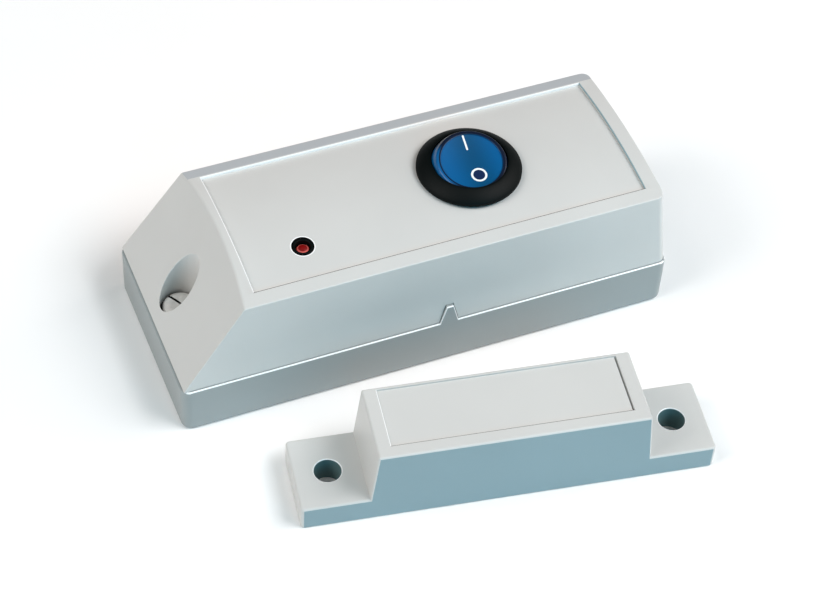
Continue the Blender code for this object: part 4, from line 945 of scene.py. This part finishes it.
    def build(self, palette: Palette) -> Object:
        """Model and paint the cover.

        Args:
            palette: the finishes.

        Returns:
            The finished cover.
        """
        top, well = self.top, (self.well_x, 0)
        seat = self.foot + 0.6 * MM
        spigot = self.foot - 2.0 * MM
        piece = self.rounded_form()
        piece.cut(self.form("hollow", self.wall, self.foot - PAST))
        inset = self.wall - 1.1 * MM
        piece.cut(Workpiece.block("groove", (-49.7 * MM, inset - BASE_WIDTH, self.foot - PAST),
                                  (BASE_LENGTH - inset, BASE_WIDTH - inset, self.foot + 1.55 * MM)))
        boss = Workpiece.post("boss", well, spigot, top, self.well_radius + 1.4 * MM)
        boss.keep(self.form("boss_limit", SEAM, spigot - PAST))
        boss.cut(Workpiece.block("boss_side", (-60 * MM, -10 * MM, spigot - PAST),
                                 (-53.9 * MM, 10 * MM, self.foot)))
        piece.join(boss)
        piece.cut(Workpiece.post("well", well, seat, top + PAST, self.well_radius, sides=96),
                  Workpiece.post("way", well, spigot - PAST, top, self.screw_way))
        for y in (-10.5 * MM, 10.5 * MM):
            piece.join(self.hook(y))
        x, y = self.lamp
        floor = self.top_at(y, self.panel_depth)
        spot = Vector((x, y, floor))
        upright = Vector((0, y, floor - self.crown_centre)).normalized()
        piece.join(Workpiece.post("collar", (x, y), floor - self.wall - 3 * MM, floor - 0.6 * MM, 3.8 * MM))
        piece.cut(self.panel_tool())
        piece.cut(Workpiece.pushed("notch", self.mark_outline(SEAM), -24.2 * MM, -19.1 * MM, Along.Y),
                  Workpiece.post("switch_hole", self.switch, 25 * MM, top + PAST, self.switch_hole, sides=96),
                  Workpiece.rod("lamp_face", tuple(spot - upright * 0.05 * MM), tuple(spot + upright * MM),
                                self.lamp_face))
        piece.cut(Workpiece.post("lamp_hole", (x, y), 20 * MM, top + PAST, self.lamp_hole))
        self.ease_rims(piece)
        obj = piece.finished(palette["white_abs"], 32)
        self.paint_rims(obj, palette)
        # Painted shade: the ring of the seat round the screw head is painted dull black.
        tint(obj, palette["slot_shade"], lambda c, n: abs(c.z - seat) < 0.01 * MM and n.z > 0.9)
        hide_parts("cover")
        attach(obj, "housing")
        return obj

    def paint_rims(self, obj: Object, palette: Palette) -> None:
        """Paint highlights and shade on the rims of the panel and of the lamp's hole, and shade on the strip
        behind the panel.

        Args:
            obj: the finished cover.
            palette: the finishes.
        """
        left, right, half = self.panel
        x, y = self.lamp
        low, rim, step = self.edge_height - self.panel_depth, half - 0.02 * MM, 0.3 * MM

        def from_lamp(c: Vector) -> float:
            """The distance from the lamp's axis."""
            return math.hypot(c.x - x, c.y - y)

        # Painted highlights on the panel's back and left rims and round the lamp's hole.
        tint(obj, palette["polished_rim"], lambda c, n: c.z > low and rim < c.y < rim + step and n.y < -0.3)
        tint(obj, palette["polished_rim"], lambda c, n: c.z > low and abs(c.x - left) < step
             and abs(c.y) < rim + 0.1 * MM and n.x > 0.3)
        tint(obj, palette["polished_rim"], lambda c, n: n.z > 0.9 and from_lamp(c) < self.lamp_face + 0.1 * MM
             and 0.02 * MM < self.top_at(c.y, self.panel_depth) - c.z < 0.2 * MM)
        # A painted shadow line on the panel's front rim and painted shade on its right rim.
        tint(obj, palette["line_shade"], lambda c, n: c.z > low and sloped(n) and left < c.x < right + step
             and c.y < 0.01 * MM - half and n.y > 0.1)
        tint(obj, palette["drawn_wall"], lambda c, n: c.z > low and sloped(n) and abs(c.y) < half
             and right < c.x < right + step and n.x < -0.1)
        # Painted shade on the strip behind the panel and, in black, on the wall of the lamp's hole.
        tint(obj, palette["back_margin"], lambda c, n: n.z > 0.9 and c.y > half + 0.5 * MM and c.z > low)
        tint(obj, palette["slot_shade"], lambda c, n: c.z > 29 * MM and abs(n.z) < 0.3
             and abs(from_lamp(c) - self.lamp_hole) < 0.05 * MM)

    def hook(self, y: float) -> Workpiece:
        """A snap hook inside the plain end."""
        outer, low = 53.9 * MM, 7.3 * MM
        inner = outer - 1.4 * MM
        outline = [(inner, low), (outer, low), (outer + 0.8 * MM, low + 0.8 * MM), (outer, low + 1.6 * MM),
                   (outer, 14 * MM), (54.2 * MM, 14.5 * MM), (54.2 * MM, 17.4 * MM), (inner, 17.4 * MM)]
        return Workpiece.pushed("hook", outline, y - 3 * MM, y + 3 * MM, Along.Y)

    def ease_rims(self, piece: Workpiece) -> None:
        """Break the sharp rims of the panel and the well."""
        left, right, half = self.panel
        slant_at, slant = self.planes(0.0)[0]

        def panel_rim(a: Vector, b: Vector) -> bool:
            """Edges round the panel at the height of the top."""
            for p in (a, b):
                beside = abs(abs(p.y) - half) < LEVEL or min(abs(p.x - left), abs(p.x - right)) < LEVEL
                if not beside or abs(p.z - self.top_at(p.y)) > 0.15 * MM or abs(p.y) > half + LEVEL:
                    return False
            between = left + LEVEL < (a.x + b.x) / 2 < right - LEVEL
            return not between or abs(abs(a.y + b.y) / 2 - half) < LEVEL

        def at_well_rim(p: Vector) -> bool:
            """Points round the well's mouth."""
            return (abs((p - slant_at).dot(slant)) < NEAR
                    and abs(math.hypot(p.x - self.well_x, p.y) - self.well_radius) < NEAR)

        piece.ease(panel_rim, 0.25 * MM, 2)
        piece.ease(both(at_well_rim), 0.25 * MM, 3)


@dataclass
class Base:
    """The tray that is fixed to the wall, with the alignment mark on its front."""

    half_length: float = BASE_LENGTH
    half_width: float = BASE_WIDTH
    height: float = 12.3 * MM
    wall: float = 2.2 * MM
    corner: float = 2.2 * MM
    foot_edge: float = 0.9 * MM
    posts: tuple[Pair, ...] = ((-34.0 * MM, 13.4 * MM), (22.4 * MM, 13.4 * MM), (-34.0 * MM, -13.4 * MM),
                               (22.4 * MM, -13.4 * MM))

    def build(self, palette: Palette, cover: Cover) -> Object:
        """Model and paint the base.

        Args:
            palette: the finishes.
            cover: the cover, whose notch takes the mark.

        Returns:
            The finished base.
        """
        length, width, wall = self.half_length, self.half_width, self.wall
        piece = Workpiece.slab("base", (0, 0), (length, width), 0, self.height)
        piece.ease(lambda a, b: abs(a.z - b.z) > self.height / 2, self.corner, 10)
        piece.ease(lambda a, b: max(a.z, b.z) < LEVEL, self.foot_edge, 5)
        piece.ease(lambda a, b: min(a.z, b.z) > self.height - LEVEL, 0.32 * MM, 4)
        hollow = Workpiece.slab("hollow", (0, 0), (length - wall, width - wall), wall, 20 * MM)
        piece.cut(hollow.ease(lambda a, b: abs(a.z - b.z) > self.height / 2, 1.1 * MM, 6))
        tongue = Workpiece.block("tongue", (-49.4 * MM, -20.8 * MM, 10.3 * MM),
                                 (55.0 * MM, 20.8 * MM, 13.7 * MM))
        tongue.cut(Workpiece.block("inside", (-52 * MM, wall - width, 8 * MM),
                                   (length - wall, width - wall, 16 * MM)))
        piece.join(tongue)
        mark = Workpiece.pushed("mark", cover.mark_outline(0.0), -width, -width + 1.55 * MM, Along.Y)
        mark.ease(lambda a, b: max(a.y, b.y) < LEVEL - width and min(a.z, b.z) > self.height - 3 * MM
                  and max(a.z, b.z) > self.height, 0.3 * MM, 4)
        piece.join(mark)
        piece.join(Workpiece.post("boss", (WELL_X, 0), 1.1 * MM, 10.3 * MM, 3.55 * MM))
        piece.cut(Workpiece.post("pilot", (WELL_X, 0), wall, 13 * MM, 1.75 * MM, sides=32))
        for number, (x, y) in enumerate(self.posts):
            piece.join(Workpiece.post("post", (x, y), 1.1 * MM, 6.2 * MM, 2.8 * MM, sides=40))
            if number < 2:
                piece.cut(Workpiece.post("post_pilot", (x, y), wall, 9 * MM, 1.4 * MM, sides=24))
            else:
                piece.join(Workpiece.post("tip", (x, y), wall, 8.25 * MM, 1.1 * MM, sides=24))
        self.battery_bay(piece)
        for x in (-42.2 * MM, 50.1 * MM):
            piece.cut(Workpiece.post("wall_screw", (x, 0), -PAST, 4 * MM, 2.1 * MM),
                      Workpiece.post("sink", (x, 0), 0.73 * MM, 2.5 * MM, 2.1 * MM, 3.6 * MM))
        for y in (-10.5 * MM, 10.5 * MM):
            piece.cut(Workpiece.block("pocket", (52.2 * MM, y - 3.3 * MM, 7.0 * MM),
                                      (55.0 * MM, y + 3.3 * MM, 9.2 * MM)))
        # The base's darker grey is painted shade near the floor.
        obj = piece.finished(palette["base_abs"], 32)
        ledge, rim = self.height - 0.34 * MM, 0.6 * MM

        def on_rim(c: Vector, n: Vector) -> bool:
            """Faces of the ledge's long sides and plain end, and of the mark's eased edges."""
            outside = abs(c.y) > width - rim or c.x > length - rim
            return c.z > ledge and ((n.z > 0.25 and outside) or (c.y < 0.35 * MM - width and n.y > -0.96))

        # Painted highlight on the ledge's long sides and plain end, and on the mark's eased edges.
        tint(obj, palette["polished_rim"], on_rim)
        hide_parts("base_tray")
        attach(obj, "housing")
        return obj

    def battery_bay(self, piece: Workpiece) -> None:
        """Grow the saddles that carry the cell and the posts that hold its contacts."""
        x, axis, radius = 38 * MM, 8.65 * MM, 5.45 * MM
        for y in (-9 * MM, 9 * MM):
            rib = Workpiece.slab("saddle", (x, y), (7 * MM, 0.8 * MM), 1.1 * MM, 7.36 * MM)
            rib.cut(Workpiece.rod("bed", (x, y - PAST, axis), (x, y + PAST, axis), radius, sides=64))
            piece.join(rib)
        for y in (-16.55 * MM, 16.55 * MM):
            for edge in (x - 4.5 * MM, x + 4.5 * MM):
                piece.join(Workpiece.slab("contact_post", (edge, y), (1.1 * MM, 1.1 * MM), 1.1 * MM,
                                          11.7 * MM))
            piece.cut(Workpiece.slab("groove", (x, y), (4.8 * MM, 0.5 * MM), self.wall, 14 * MM))


@dataclass
class CoverScrew:
    """The slotted screw at the bottom of the well."""

    x: float = WELL_X
    seat: float = 13.2 * MM
    head: float = 3.8 * MM
    head_height: float = 1.7 * MM
    shank: float = 1.45 * MM
    foot: float = 3.6 * MM
    slot_width: float = 0.5 * MM
    slot_turn: float = -62.0

    def build(self, palette: Palette) -> Object:
        """Model and paint the screw."""
        top = self.seat + self.head_height
        dome = [(0.0, top), (self.head * 0.45, top - 0.05 * MM), (self.head * 0.75, top - 0.2 * MM),
                (self.head * 0.92, top - 0.5 * MM), (self.head, top - 0.95 * MM),
                (self.head, self.seat + 0.1 * MM), (self.head - 0.1 * MM, self.seat), (self.shank, self.seat)]
        thread: list[Pair] = []
        height, pitch = self.seat - 0.8 * MM, 0.9 * MM
        while height - pitch > self.foot + 2.5 * MM:
            thread += [(self.shank, height), (self.shank - 0.3 * MM, height - pitch * 0.45),
                       (self.shank - 0.3 * MM, height - pitch * 0.55)]
            height -= pitch
        profile = [*dome, *thread, (self.shank, height), (0.4 * MM, self.foot), (0.0, self.foot)]
        piece = Workpiece.spun("well_screw", profile, (self.x, 0, 0), 72)
        turn = math.radians(self.slot_turn)
        across = Vector((-math.sin(turn), math.cos(turn), 0))
        floor = top - 1.25 * MM
        slot = Workpiece.slab("slot", (0, 0), (6 * MM, self.slot_width / 2), floor, top + PAST)
        slot.moved(Matrix.Translation((self.x, 0, 0)) @ Matrix.Rotation(turn, 4, "Z"))
        piece.cut(slot)
        obj = piece.finished(palette["zinc_plated_steel"], 30)

        def shaded(c: Vector, n: Vector) -> bool:
            """Faces of the slot and of the head's steep flank, which take painted shade."""
            in_slot = abs((c - Vector((self.x, 0, c.z))).dot(across)) < self.slot_width / 2 + NEAR
            outer = math.hypot(c.x - self.x, c.y) > self.head * 0.93
            deep = c.z > top - 1.3 * MM and (c.z < top - 1.2 * MM or abs(n.z) < 0.45)
            return deep and (in_slot or outer)

        # Painted shade on the slot and the head's flank.
        tint(obj, palette["slot_shade"], shaded)
        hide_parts("cover_screw")
        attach(obj, "housing")
        return obj


@dataclass
class RoundRocker:
    """The round rocker switch: black bezel and barrel, blue rocker with its two marks."""

    pivot: Vector = field(default_factory=lambda: Vector((SWITCH_X, 0, SWITCH_Z)))
    bezel_top: float = 36.7 * MM
    bezel_foot: float = 33.9 * MM
    bezel_radius: float = 11.5 * MM
    mouth: float = 8.2 * MM
    barrel: float = 9.9 * MM
    barrel_foot: float = 19.9 * MM
    ball: float = 9.0 * MM
    face: float = 4.9 * MM
    rim: float = 0.8 * MM
    sink: float = 0.25 * MM
    dish: float = 0.35 * MM
    flat: float = 8.0 * MM
    skirt: float = 2.6 * MM
    tilt: float = SWITCH_TILT

    def build_body(self, palette: Palette) -> Object:
        """Model and paint the bezel and barrel."""
        x, axis, top, foot = self.pivot.x, self.pivot.z, self.bezel_top, self.bezel_foot
        rim, lip, edge = self.bezel_radius, self.mouth + 0.4 * MM, 0.7 * MM
        profile = [(0.0, top)]
        for degrees in range(0, 91, 6):
            out = math.sin(math.radians(degrees))
            profile.append((lip + (rim - lip) * out,
                            foot + edge + (top - foot - edge) * (1 - out ** 1.3) ** 0.78))
        profile += [(rim, foot + 0.1 * MM), (rim - 0.1 * MM, foot), (self.barrel, foot),
                    (self.barrel, self.barrel_foot + 0.4 * MM), (self.barrel - 0.4 * MM, self.barrel_foot),
                    (0.0, self.barrel_foot)]
        piece = Workpiece.spun("switch_bezel", profile, (x, 0, 0), 128)
        bowl = Workpiece.ball("bowl", self.pivot, self.ball + FIT)
        bowl.keep(Workpiece.block("limit", (x - self.flat - FIT, -12 * MM, axis - 5.58 * MM),
                                  (x + self.flat + FIT, 12 * MM, top + PAST)))
        reach = self.flat + 1.4 * MM
        for side in (-1, 1):
            catch = foot - 2.5 * MM
            outline = [(side * 8.9 * MM, catch), (side * 10.9 * MM, catch), (side * 9.9 * MM, catch - 6 * MM),
                       (side * 8.9 * MM, catch - 6 * MM)]
            piece.join(Workpiece.pushed("wing", outline, x - 2.5 * MM, x + 2.5 * MM, Along.X))
        piece.cut(bowl,
                  Workpiece.post("mouth", (x, 0), axis + 2.25 * MM, top + PAST, self.mouth, sides=128),
                  Workpiece.slab("chamber", (x, 0), (3.5 * MM, 7.5 * MM), 21.5 * MM, axis),
                  Workpiece.rod("bore", (x - reach, 0, axis), (x + reach, 0, axis), 1.5 * MM, sides=32))
        for y in (0.0, -4.6 * MM):
            piece.cut(Workpiece.slab("blade_slot", (x, y), (2.7 * MM, 0.7 * MM), 18 * MM, 23 * MM))
        piece.ease(both(lambda p: abs(p.z - top) < LEVEL
                        and abs(math.hypot(p.x - x, p.y) - self.mouth) < 0.3 * MM), 0.25 * MM, 4)
        obj = piece.finished(palette["black_nylon"], 32)
        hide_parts("switch_body")
        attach(obj, "housing")
        return obj

    def tilted(self, piece: Workpiece) -> Workpiece:
        """Turn a piece drawn level into the switch's rest position."""
        return piece.moved(about(self.pivot, "X", self.tilt))

    @property
    def face_radius(self) -> float:
        """Radius of the sunk face inside the rim."""
        return math.sqrt(self.ball ** 2 - self.face ** 2) - self.rim

    def lens(self, name: str, lift: float, sides: int = 96) -> Workpiece:
        """The round solid that stands on the dished face.

        Args:
            name: the piece's name.
            lift: how far above the face it starts.
            sides: its number of sides.

        Returns:
            The workpiece, level.
        """
        reach = self.face_radius
        radius = (reach ** 2 + self.dish ** 2) / (2 * self.dish)
        centre = self.face - self.sink - self.dish + radius + lift
        lean = math.degrees(math.asin(reach / radius))
        bowl = [(max(r, 0.0), h) for r, h in arc((0, centre), radius, 270 + lean, 270, 20)]
        return Workpiece.spun(name, [(0.0, self.ball), (reach, self.ball), *bowl], self.pivot, sides)

    def build_rocker(self, palette: Palette) -> Object:
        """Model and paint the rocker."""
        p = self.pivot
        piece = Workpiece.ball("blue_rocker", p, self.ball, 128)
        piece.slice(p + Vector((0, 0, self.face)), Vector((0, 0, 1)))
        piece.slice(p - Vector((0, 0, self.skirt)), Vector((0, 0, -1)))
        for side in (-1, 1):
            piece.slice(p + Vector((side * self.flat, 0, 0)), Vector((side, 0, 0)))
        piece.ease(lambda a, b: min(a.z, b.z) > p.z + self.face - LEVEL, 0.22 * MM, 4)
        piece.cut(self.lens("dish", 0.0))
        reach = self.face_radius
        piece.ease(both(lambda v: v.z > p.z + self.face - NEAR
                        and abs(math.hypot(v.x - p.x, v.y) - reach) < NEAR), 0.1 * MM, 3)
        shell = self.ball - 1.3 * MM
        hollow = Workpiece.ball("hollow", p, shell, 64)
        hollow.keep(Workpiece.slab("limit", (p.x, 0), (6.7 * MM, shell), p.z - 9 * MM, p.z + 3.0 * MM))
        piece.cut(hollow)
        piece.join(Workpiece.post("guide", (p.x, 0), p.z - 4.2 * MM, p.z + 3.6 * MM, 2.3 * MM, sides=48))
        for side in (-1, 1):
            start, end = ((p.x + side * out * MM, 0, p.z) for out in (7.35, 9.1))
            piece.join(Workpiece.rod("stub", start, end, 1.2 * MM, sides=32))
        piece.cut(Workpiece.post("bore", (p.x, 0), p.z - 6.2 * MM, p.z + 2.3 * MM, 1.5 * MM, sides=32))
        # The blue rocker's colour carries painted shade on its face and rim.
        obj = self.tilted(piece).finished(palette["blue_polycarbonate"], 32)
        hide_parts("rocker")
        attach(obj, "rocker")
        return obj

    def build_marks(self, palette: Palette) -> list[Object]:
        """Print the stroke and the ring on the rocker's face, and lay painted shade on the ground inside the
        ring.

        Returns:
            The printed marks and the shaded ground.
        """
        p = self.pivot
        low, high = p.z + 2 * MM, p.z + 8 * MM
        start, end = Vector((0.52, 6.67)) * MM, Vector((0.28, 3.0)) * MM
        along = (end - start).normalized()
        side = Vector((-along.y, along.x)) * 0.2 * MM
        corners = [start + side, end + side, end - side, start - side]
        stroke = Workpiece.pushed("mark_on", [(p.x + c.x, c.y) for c in corners], low, high, Along.Z)
        stroke.ease(lambda a, b: abs(a.z - b.z) > MM, 0.17 * MM, 5)
        cx, cy = p.x + 0.38 * MM, -3.62 * MM
        ring = Workpiece.post("mark_off", (cx, cy), low, high, 1.75 * MM)
        ring.cut(Workpiece.post("eye", (cx, cy), low - PAST, high + PAST, 1.3 * MM))
        ground = Workpiece.post("mark_ground", (cx, cy), low, high, 1.27 * MM)
        made = []
        # The stroke and the ring take white ink; the ground inside the ring takes navy painted shade.
        for piece, ink, lift in ((stroke, "mark_ink", 0.04 * MM), (ring, "mark_ink", 0.04 * MM),
                                 (ground, "navy_ink", 0.02 * MM)):
            piece.cut(self.lens("above", lift))
            piece.keep(self.lens("below", -0.05 * MM))
            obj = self.tilted(piece).finished(palette[ink], 30, weighted=False)
            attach(obj, "rocker")
            made.append(obj)
        return made


@dataclass
class Lamp:
    """The red indicator lamp in its black tube."""

    x: float = LAMP_X
    y: float = LAMP_Y
    top: float = 33.1 * MM
    radius: float = 1.65 * MM
    body: float = 3.4 * MM
    tube_foot: float = 8.4 * MM
    tube_top: float = 33.37 * MM
    tube_radius: float = 2.2 * MM
    bore: float = 1.72 * MM
    leg_spread: float = 1.27 * MM

    def build(self, palette: Palette) -> list[Object]:
        """Model and paint the lamp and its tube.

        Returns:
            The lamp and the tube.
        """
        shoulder = self.top - self.radius
        foot = shoulder - self.body
        dome = [(self.radius * math.sin(a), shoulder + self.radius * math.cos(a))
                for a in map(math.radians, range(6, 91, 6))]
        profile = [(0.0, self.top), *dome, (self.radius, foot), (0.0, foot)]
        lamp = Workpiece.spun("red_lamp", profile, (self.x, self.y, 0), 64)
        # The lamp's red carries a painted reflection: a bright circle near the rim of the dome.
        lens = lamp.finished(palette["red_epoxy"], 40)
        low, high = self.tube_foot, self.tube_top
        tube = Workpiece.post("lamp_sleeve", (self.x, self.y), low, high, self.tube_radius)
        tube.cut(Workpiece.post("seat", (self.x, self.y), foot - SEAM, high + PAST, self.bore))
        for side in (-1, 1):
            x = self.x + side * self.leg_spread
            tube.cut(Workpiece.post("leg_way", (x, self.y), low - PAST, foot, 0.55 * MM, sides=24))
        tube.ease(lambda a, b: min(a.z, b.z) > high - LEVEL, 0.12 * MM, 3)
        sleeve = tube.finished(palette["black_nylon"], 32)
        for obj, node, slot in ((lens, "indicator_lamp", "red_epoxy"), (sleeve, "lamp_tube", "black_nylon")):
            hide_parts(node)
            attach(obj, "housing")
        return [lens, sleeve]


@dataclass
class DoorMagnet:
    """The eared magnet housing beside the sensor."""

    place: Vector = field(default_factory=lambda: Vector((3.6 * MM, -52.4 * MM, 0)))
    turn: float = -9.35
    half_length: float = 44.5 * MM
    half_width: float = 9.15 * MM
    ear: float = 6.2 * MM
    height: float = 19.9 * MM
    foot: float = 30.05 * MM
    top: float = 28.7 * MM
    hole_x: float = 37.2 * MM
    hole: float = 2.9 * MM
    panel: tuple[float, float, float, float] = (25.6 * MM, -6.15 * MM, 8.35 * MM, 0.4 * MM)

    def build(self, palette: Palette) -> Object:
        """Model and paint the housing."""
        end = self.half_length
        outline = [(-end, 0), (end, 0), (end, self.ear), (self.foot, self.ear), (self.top, self.height),
                   (-self.top, self.height), (-self.foot, self.ear), (-end, self.ear)]
        piece = Workpiece.pushed("magnet_case", outline, -self.half_width, self.half_width, Along.Y)
        piece.ease(lambda a, b: min(abs(a.x), abs(b.x)) > end - LEVEL and abs(a.z - b.z) > MM, 0.9 * MM, 6)
        piece.ease(lambda a, b: min(a.z, b.z) > self.ear - LEVEL and not (max(a.z, b.z) < self.ear + LEVEL
                   and max(abs(a.x), abs(b.x)) < self.foot + LEVEL), 0.5 * MM, 5)
        piece.ease(lambda a, b: max(a.z, b.z) < LEVEL, 0.3 * MM, 3)
        half_x, front, back, depth = self.panel
        floor = self.height - depth
        piece.cut(Workpiece.block("panel", (-half_x, front, floor), (half_x, back, self.height + PAST)))
        piece.cut(Workpiece.block("panel_gap", (half_x - 0.32 * MM, front, floor - 0.9 * MM),
                                  (half_x, back, self.height + PAST)))
        for x in (-self.hole_x, self.hole_x):
            piece.cut(Workpiece.post("ear_hole", (x, 0), -PAST, self.ear + PAST, self.hole, sides=96))
        pocket_x, pocket_y = self.top - 3.3 * MM, self.half_width - 2.2 * MM
        ceiling = floor - 2.2 * MM
        ledge = (pocket_x + 1.2 * MM, pocket_y + 1.2 * MM)
        piece.cut(Workpiece.slab("pocket", (0, 0), (pocket_x, pocket_y), -PAST, ceiling),
                  Workpiece.slab("ledge", (0, 0), ledge, -PAST, 1.95 * MM))
        for number in range(3):
            x = pocket_x * ((number + 1) / 2 - 1)
            piece.join(Workpiece.slab("rib", (x, 0), (0.75 * MM, 8 * MM), 8.1 * MM, ceiling + MM))
        piece.ease(both(lambda p: abs(p.z - self.ear) < LEVEL
                        and abs(math.hypot(abs(p.x) - self.hole_x, p.y) - self.hole) < NEAR), 0.2 * MM, 3)
        piece.ease(both(lambda p: abs(p.z - self.height) < LEVEL and abs(p.x) < half_x + LEVEL
                        and front - LEVEL < p.y < back + LEVEL), 0.18 * MM, 2)
        place = Matrix.Translation(self.place) @ Matrix.Rotation(math.radians(self.turn), 4, "Z")
        obj = piece.moved(place).finished(palette["white_abs"], 32)
        self.paint_edges(obj, palette, place.inverted())
        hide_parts("magnet_housing")
        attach(obj, "housing")
        return obj

    def paint_edges(self, obj: Object, palette: Palette, back: Matrix) -> None:
        """Paint highlights on the panel's left rim and the ears' rims, and shade on the long walls, the
        panel's front rim and the ear holes.

        Args:
            obj: the finished housing, in its place.
            palette: the finishes.
            back: the move from its place to where it was drawn.
        """
        half_x, front = self.panel[:2]
        straight = back.to_3x3()

        def near_hole(p: Vector, past: float) -> bool:
            """Whether a point is within an ear hole's radius and a little past it."""
            return math.hypot(abs(p.x) - self.hole_x, p.y) < self.hole + past

        def drawn(test: Test) -> Test:
            """The same test made on the piece as drawn."""
            return lambda c, n: test(back @ c, straight @ n)

        # Painted highlight on the panel's left rim.
        tint(obj, palette["polished_rim"], drawn(lambda c, n: c.z > self.height - 0.5 * MM
                                                 and abs(c.x + half_x) < 0.35 * MM and 0.2 < n.x < 1.1))
        # Painted shade on the long walls and a painted shadow line on the panel's front rim.
        tint(obj, palette["drawn_wall"], drawn(lambda c, n: abs(n.y) > 0.97
                                               and abs(c.y) > self.half_width - 0.1 * MM))
        tint(obj, palette["line_shade"], drawn(lambda c, n: c.z > self.height - 0.25 * MM and sloped(n)
                                               and abs(c.x) < half_x and c.y < front and n.y > 0.1))
        # Painted highlights on the ears' rims and painted shade on the walls of their holes.
        tint(obj, palette["polished_rim"], drawn(lambda c, n: c.z > self.ear - 0.25 * MM and sloped(n)
                                                 and near_hole(c, 0.25 * MM)))
        tint(obj, palette["bore_wall"], drawn(lambda c, n: c.z < self.ear and abs(n.z) < 0.1
                                              and near_hole(c, 0.02 * MM)))


@dataclass
class InnerWorks:
    """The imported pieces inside, which keep their own form and take their finishes."""

    nodes: dict[str, Object]
    slots: dict[str, str]

    def dress(self, palette: Palette) -> int:
        """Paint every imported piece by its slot.

        Returns:
            How many were painted.
        """
        for name, obj in self.nodes.items():
            material = palette[self.slots[name]]
            if not obj.material_slots:
                obj.data.materials.append(material)
            for slot in obj.material_slots:
                slot.material = material
        return len(self.nodes)


@dataclass
class Lamphead:
    """One soft studio light."""

    name: str
    place: Point
    aim: Point
    size: Pair
    power: float
    colour: Point

    def hang(self) -> None:
        """Add the light, aimed at its point."""
        bpy.ops.object.select_all(action="DESELECT")
        bpy.ops.object.light_add(type="AREA", location=self.place)
        obj = bpy.context.active_object
        obj.name = self.name
        obj.data.shape = "RECTANGLE"
        obj.data.size, obj.data.size_y = self.size
        obj.data.energy = self.power
        obj.data.color = self.colour
        obj.rotation_euler = (Vector(self.aim) - Vector(self.place)).to_track_quat("-Z", "Y").to_euler()


@dataclass
class Studio:
    """Camera, lights and the pale floor."""

    eye: Point = (-139.993 * MM, -312.027 * MM, 390.788 * MM)
    right: Point = (0.926281, -0.373639, 0.048974)
    up: Point = (0.252895, 0.712706, 0.654289)
    back: Point = (-0.279372, -0.59367, 0.754657)
    lens: float = 99.06

    def set_camera(self) -> None:
        """Stand the camera where the photograph was taken from."""
        bpy.ops.object.select_all(action="DESELECT")
        bpy.ops.object.camera_add()
        camera = bpy.context.active_object
        turn = Matrix((self.right, self.up, self.back)).transposed().to_4x4()
        camera.matrix_world = Matrix.Translation(self.eye) @ turn
        camera.data.lens = self.lens
        camera.data.sensor_width = 36.0
        camera.data.clip_start = 0.01
        camera.data.clip_end = 20.0
        bpy.context.scene.camera = camera

    def light(self) -> None:
        """Hang the lights and set the room's own glow."""
        world = bpy.data.worlds.new("studio_room")
        world.use_nodes = True
        ground = world.node_tree.nodes["Background"]
        ground.inputs["Color"].default_value = linear("f2f5f7")
        ground.inputs["Strength"].default_value = 0.02
        bpy.context.scene.world = world
        for lamp in (
            Lamphead("right_bank", (1.1, -0.1, 0.8), (0, 0, 0), (0.8, 0.8), 5.8, (1.0, 0.93, 0.89)),
            Lamphead("left_bank", (-1.1, 0, 0.8), (0, 0, 0), (0.8, 0.8), 6.0, (1.0, 0.97, 0.95)),
            Lamphead("left_top_bank", (-0.8, 0, 1.1), (0, 0, 0), (0.8, 0.8), 6.0, (1.0, 0.97, 0.95)),
            Lamphead("front_top_bank", (0.65, -0.55, 1.1), (0, 0, 0), (0.7, 0.7), 13.2, (0.98, 0.98, 1.0)),
            Lamphead("front_fill", (0, -1.1, 0.5), (0, 0, 0), (0.9, 0.6), 3.0, (0.0, 0.68, 1.0)),
        ):
            lamp.hang()
        view = bpy.context.scene.view_settings
        view.view_transform = "Standard"
        view.look = "None"

    def lay_floor(self) -> None:
        """Lay the wide pale floor just below the mounting faces."""
        bpy.ops.object.select_all(action="DESELECT")
        bpy.ops.mesh.primitive_plane_add(size=6.0, location=(0, 0, -0.0001))
        floor = bpy.context.active_object
        floor.name = "paper_floor"
        paper = Moulded("matt_white_paper", "fbfbfa", 0.8, grain=0.5 * MM, clouds=0.004)
        floor.data.materials.append(paper.build())


def main() -> None:
    """Build the sensor and its magnet in order and light them."""
    logging.basicConfig(level=logging.INFO, format="%(message)s")
    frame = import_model()
    studio = Studio()
    studio.set_camera()
    palette = Palette()
    slots = {part["node"]: part["material_slot"] for part in frame["record"]["subparts"]}
    LOG.info("packed pieces dressed: %d", InnerWorks(frame["nodes"], slots).dress(palette))
    cover = Cover()
    rocker = RoundRocker()
    made = [cover.build(palette), Base().build(palette, cover), CoverScrew().build(palette),
            rocker.build_body(palette), rocker.build_rocker(palette), *rocker.build_marks(palette),
            *Lamp().build(palette), DoorMagnet().build(palette)]
    for obj in made:
        LOG.info("%s: %d faces", obj.name, len(obj.data.polygons))
    studio.light()
    studio.lay_floor()


if __name__ == "__main__":
    main()
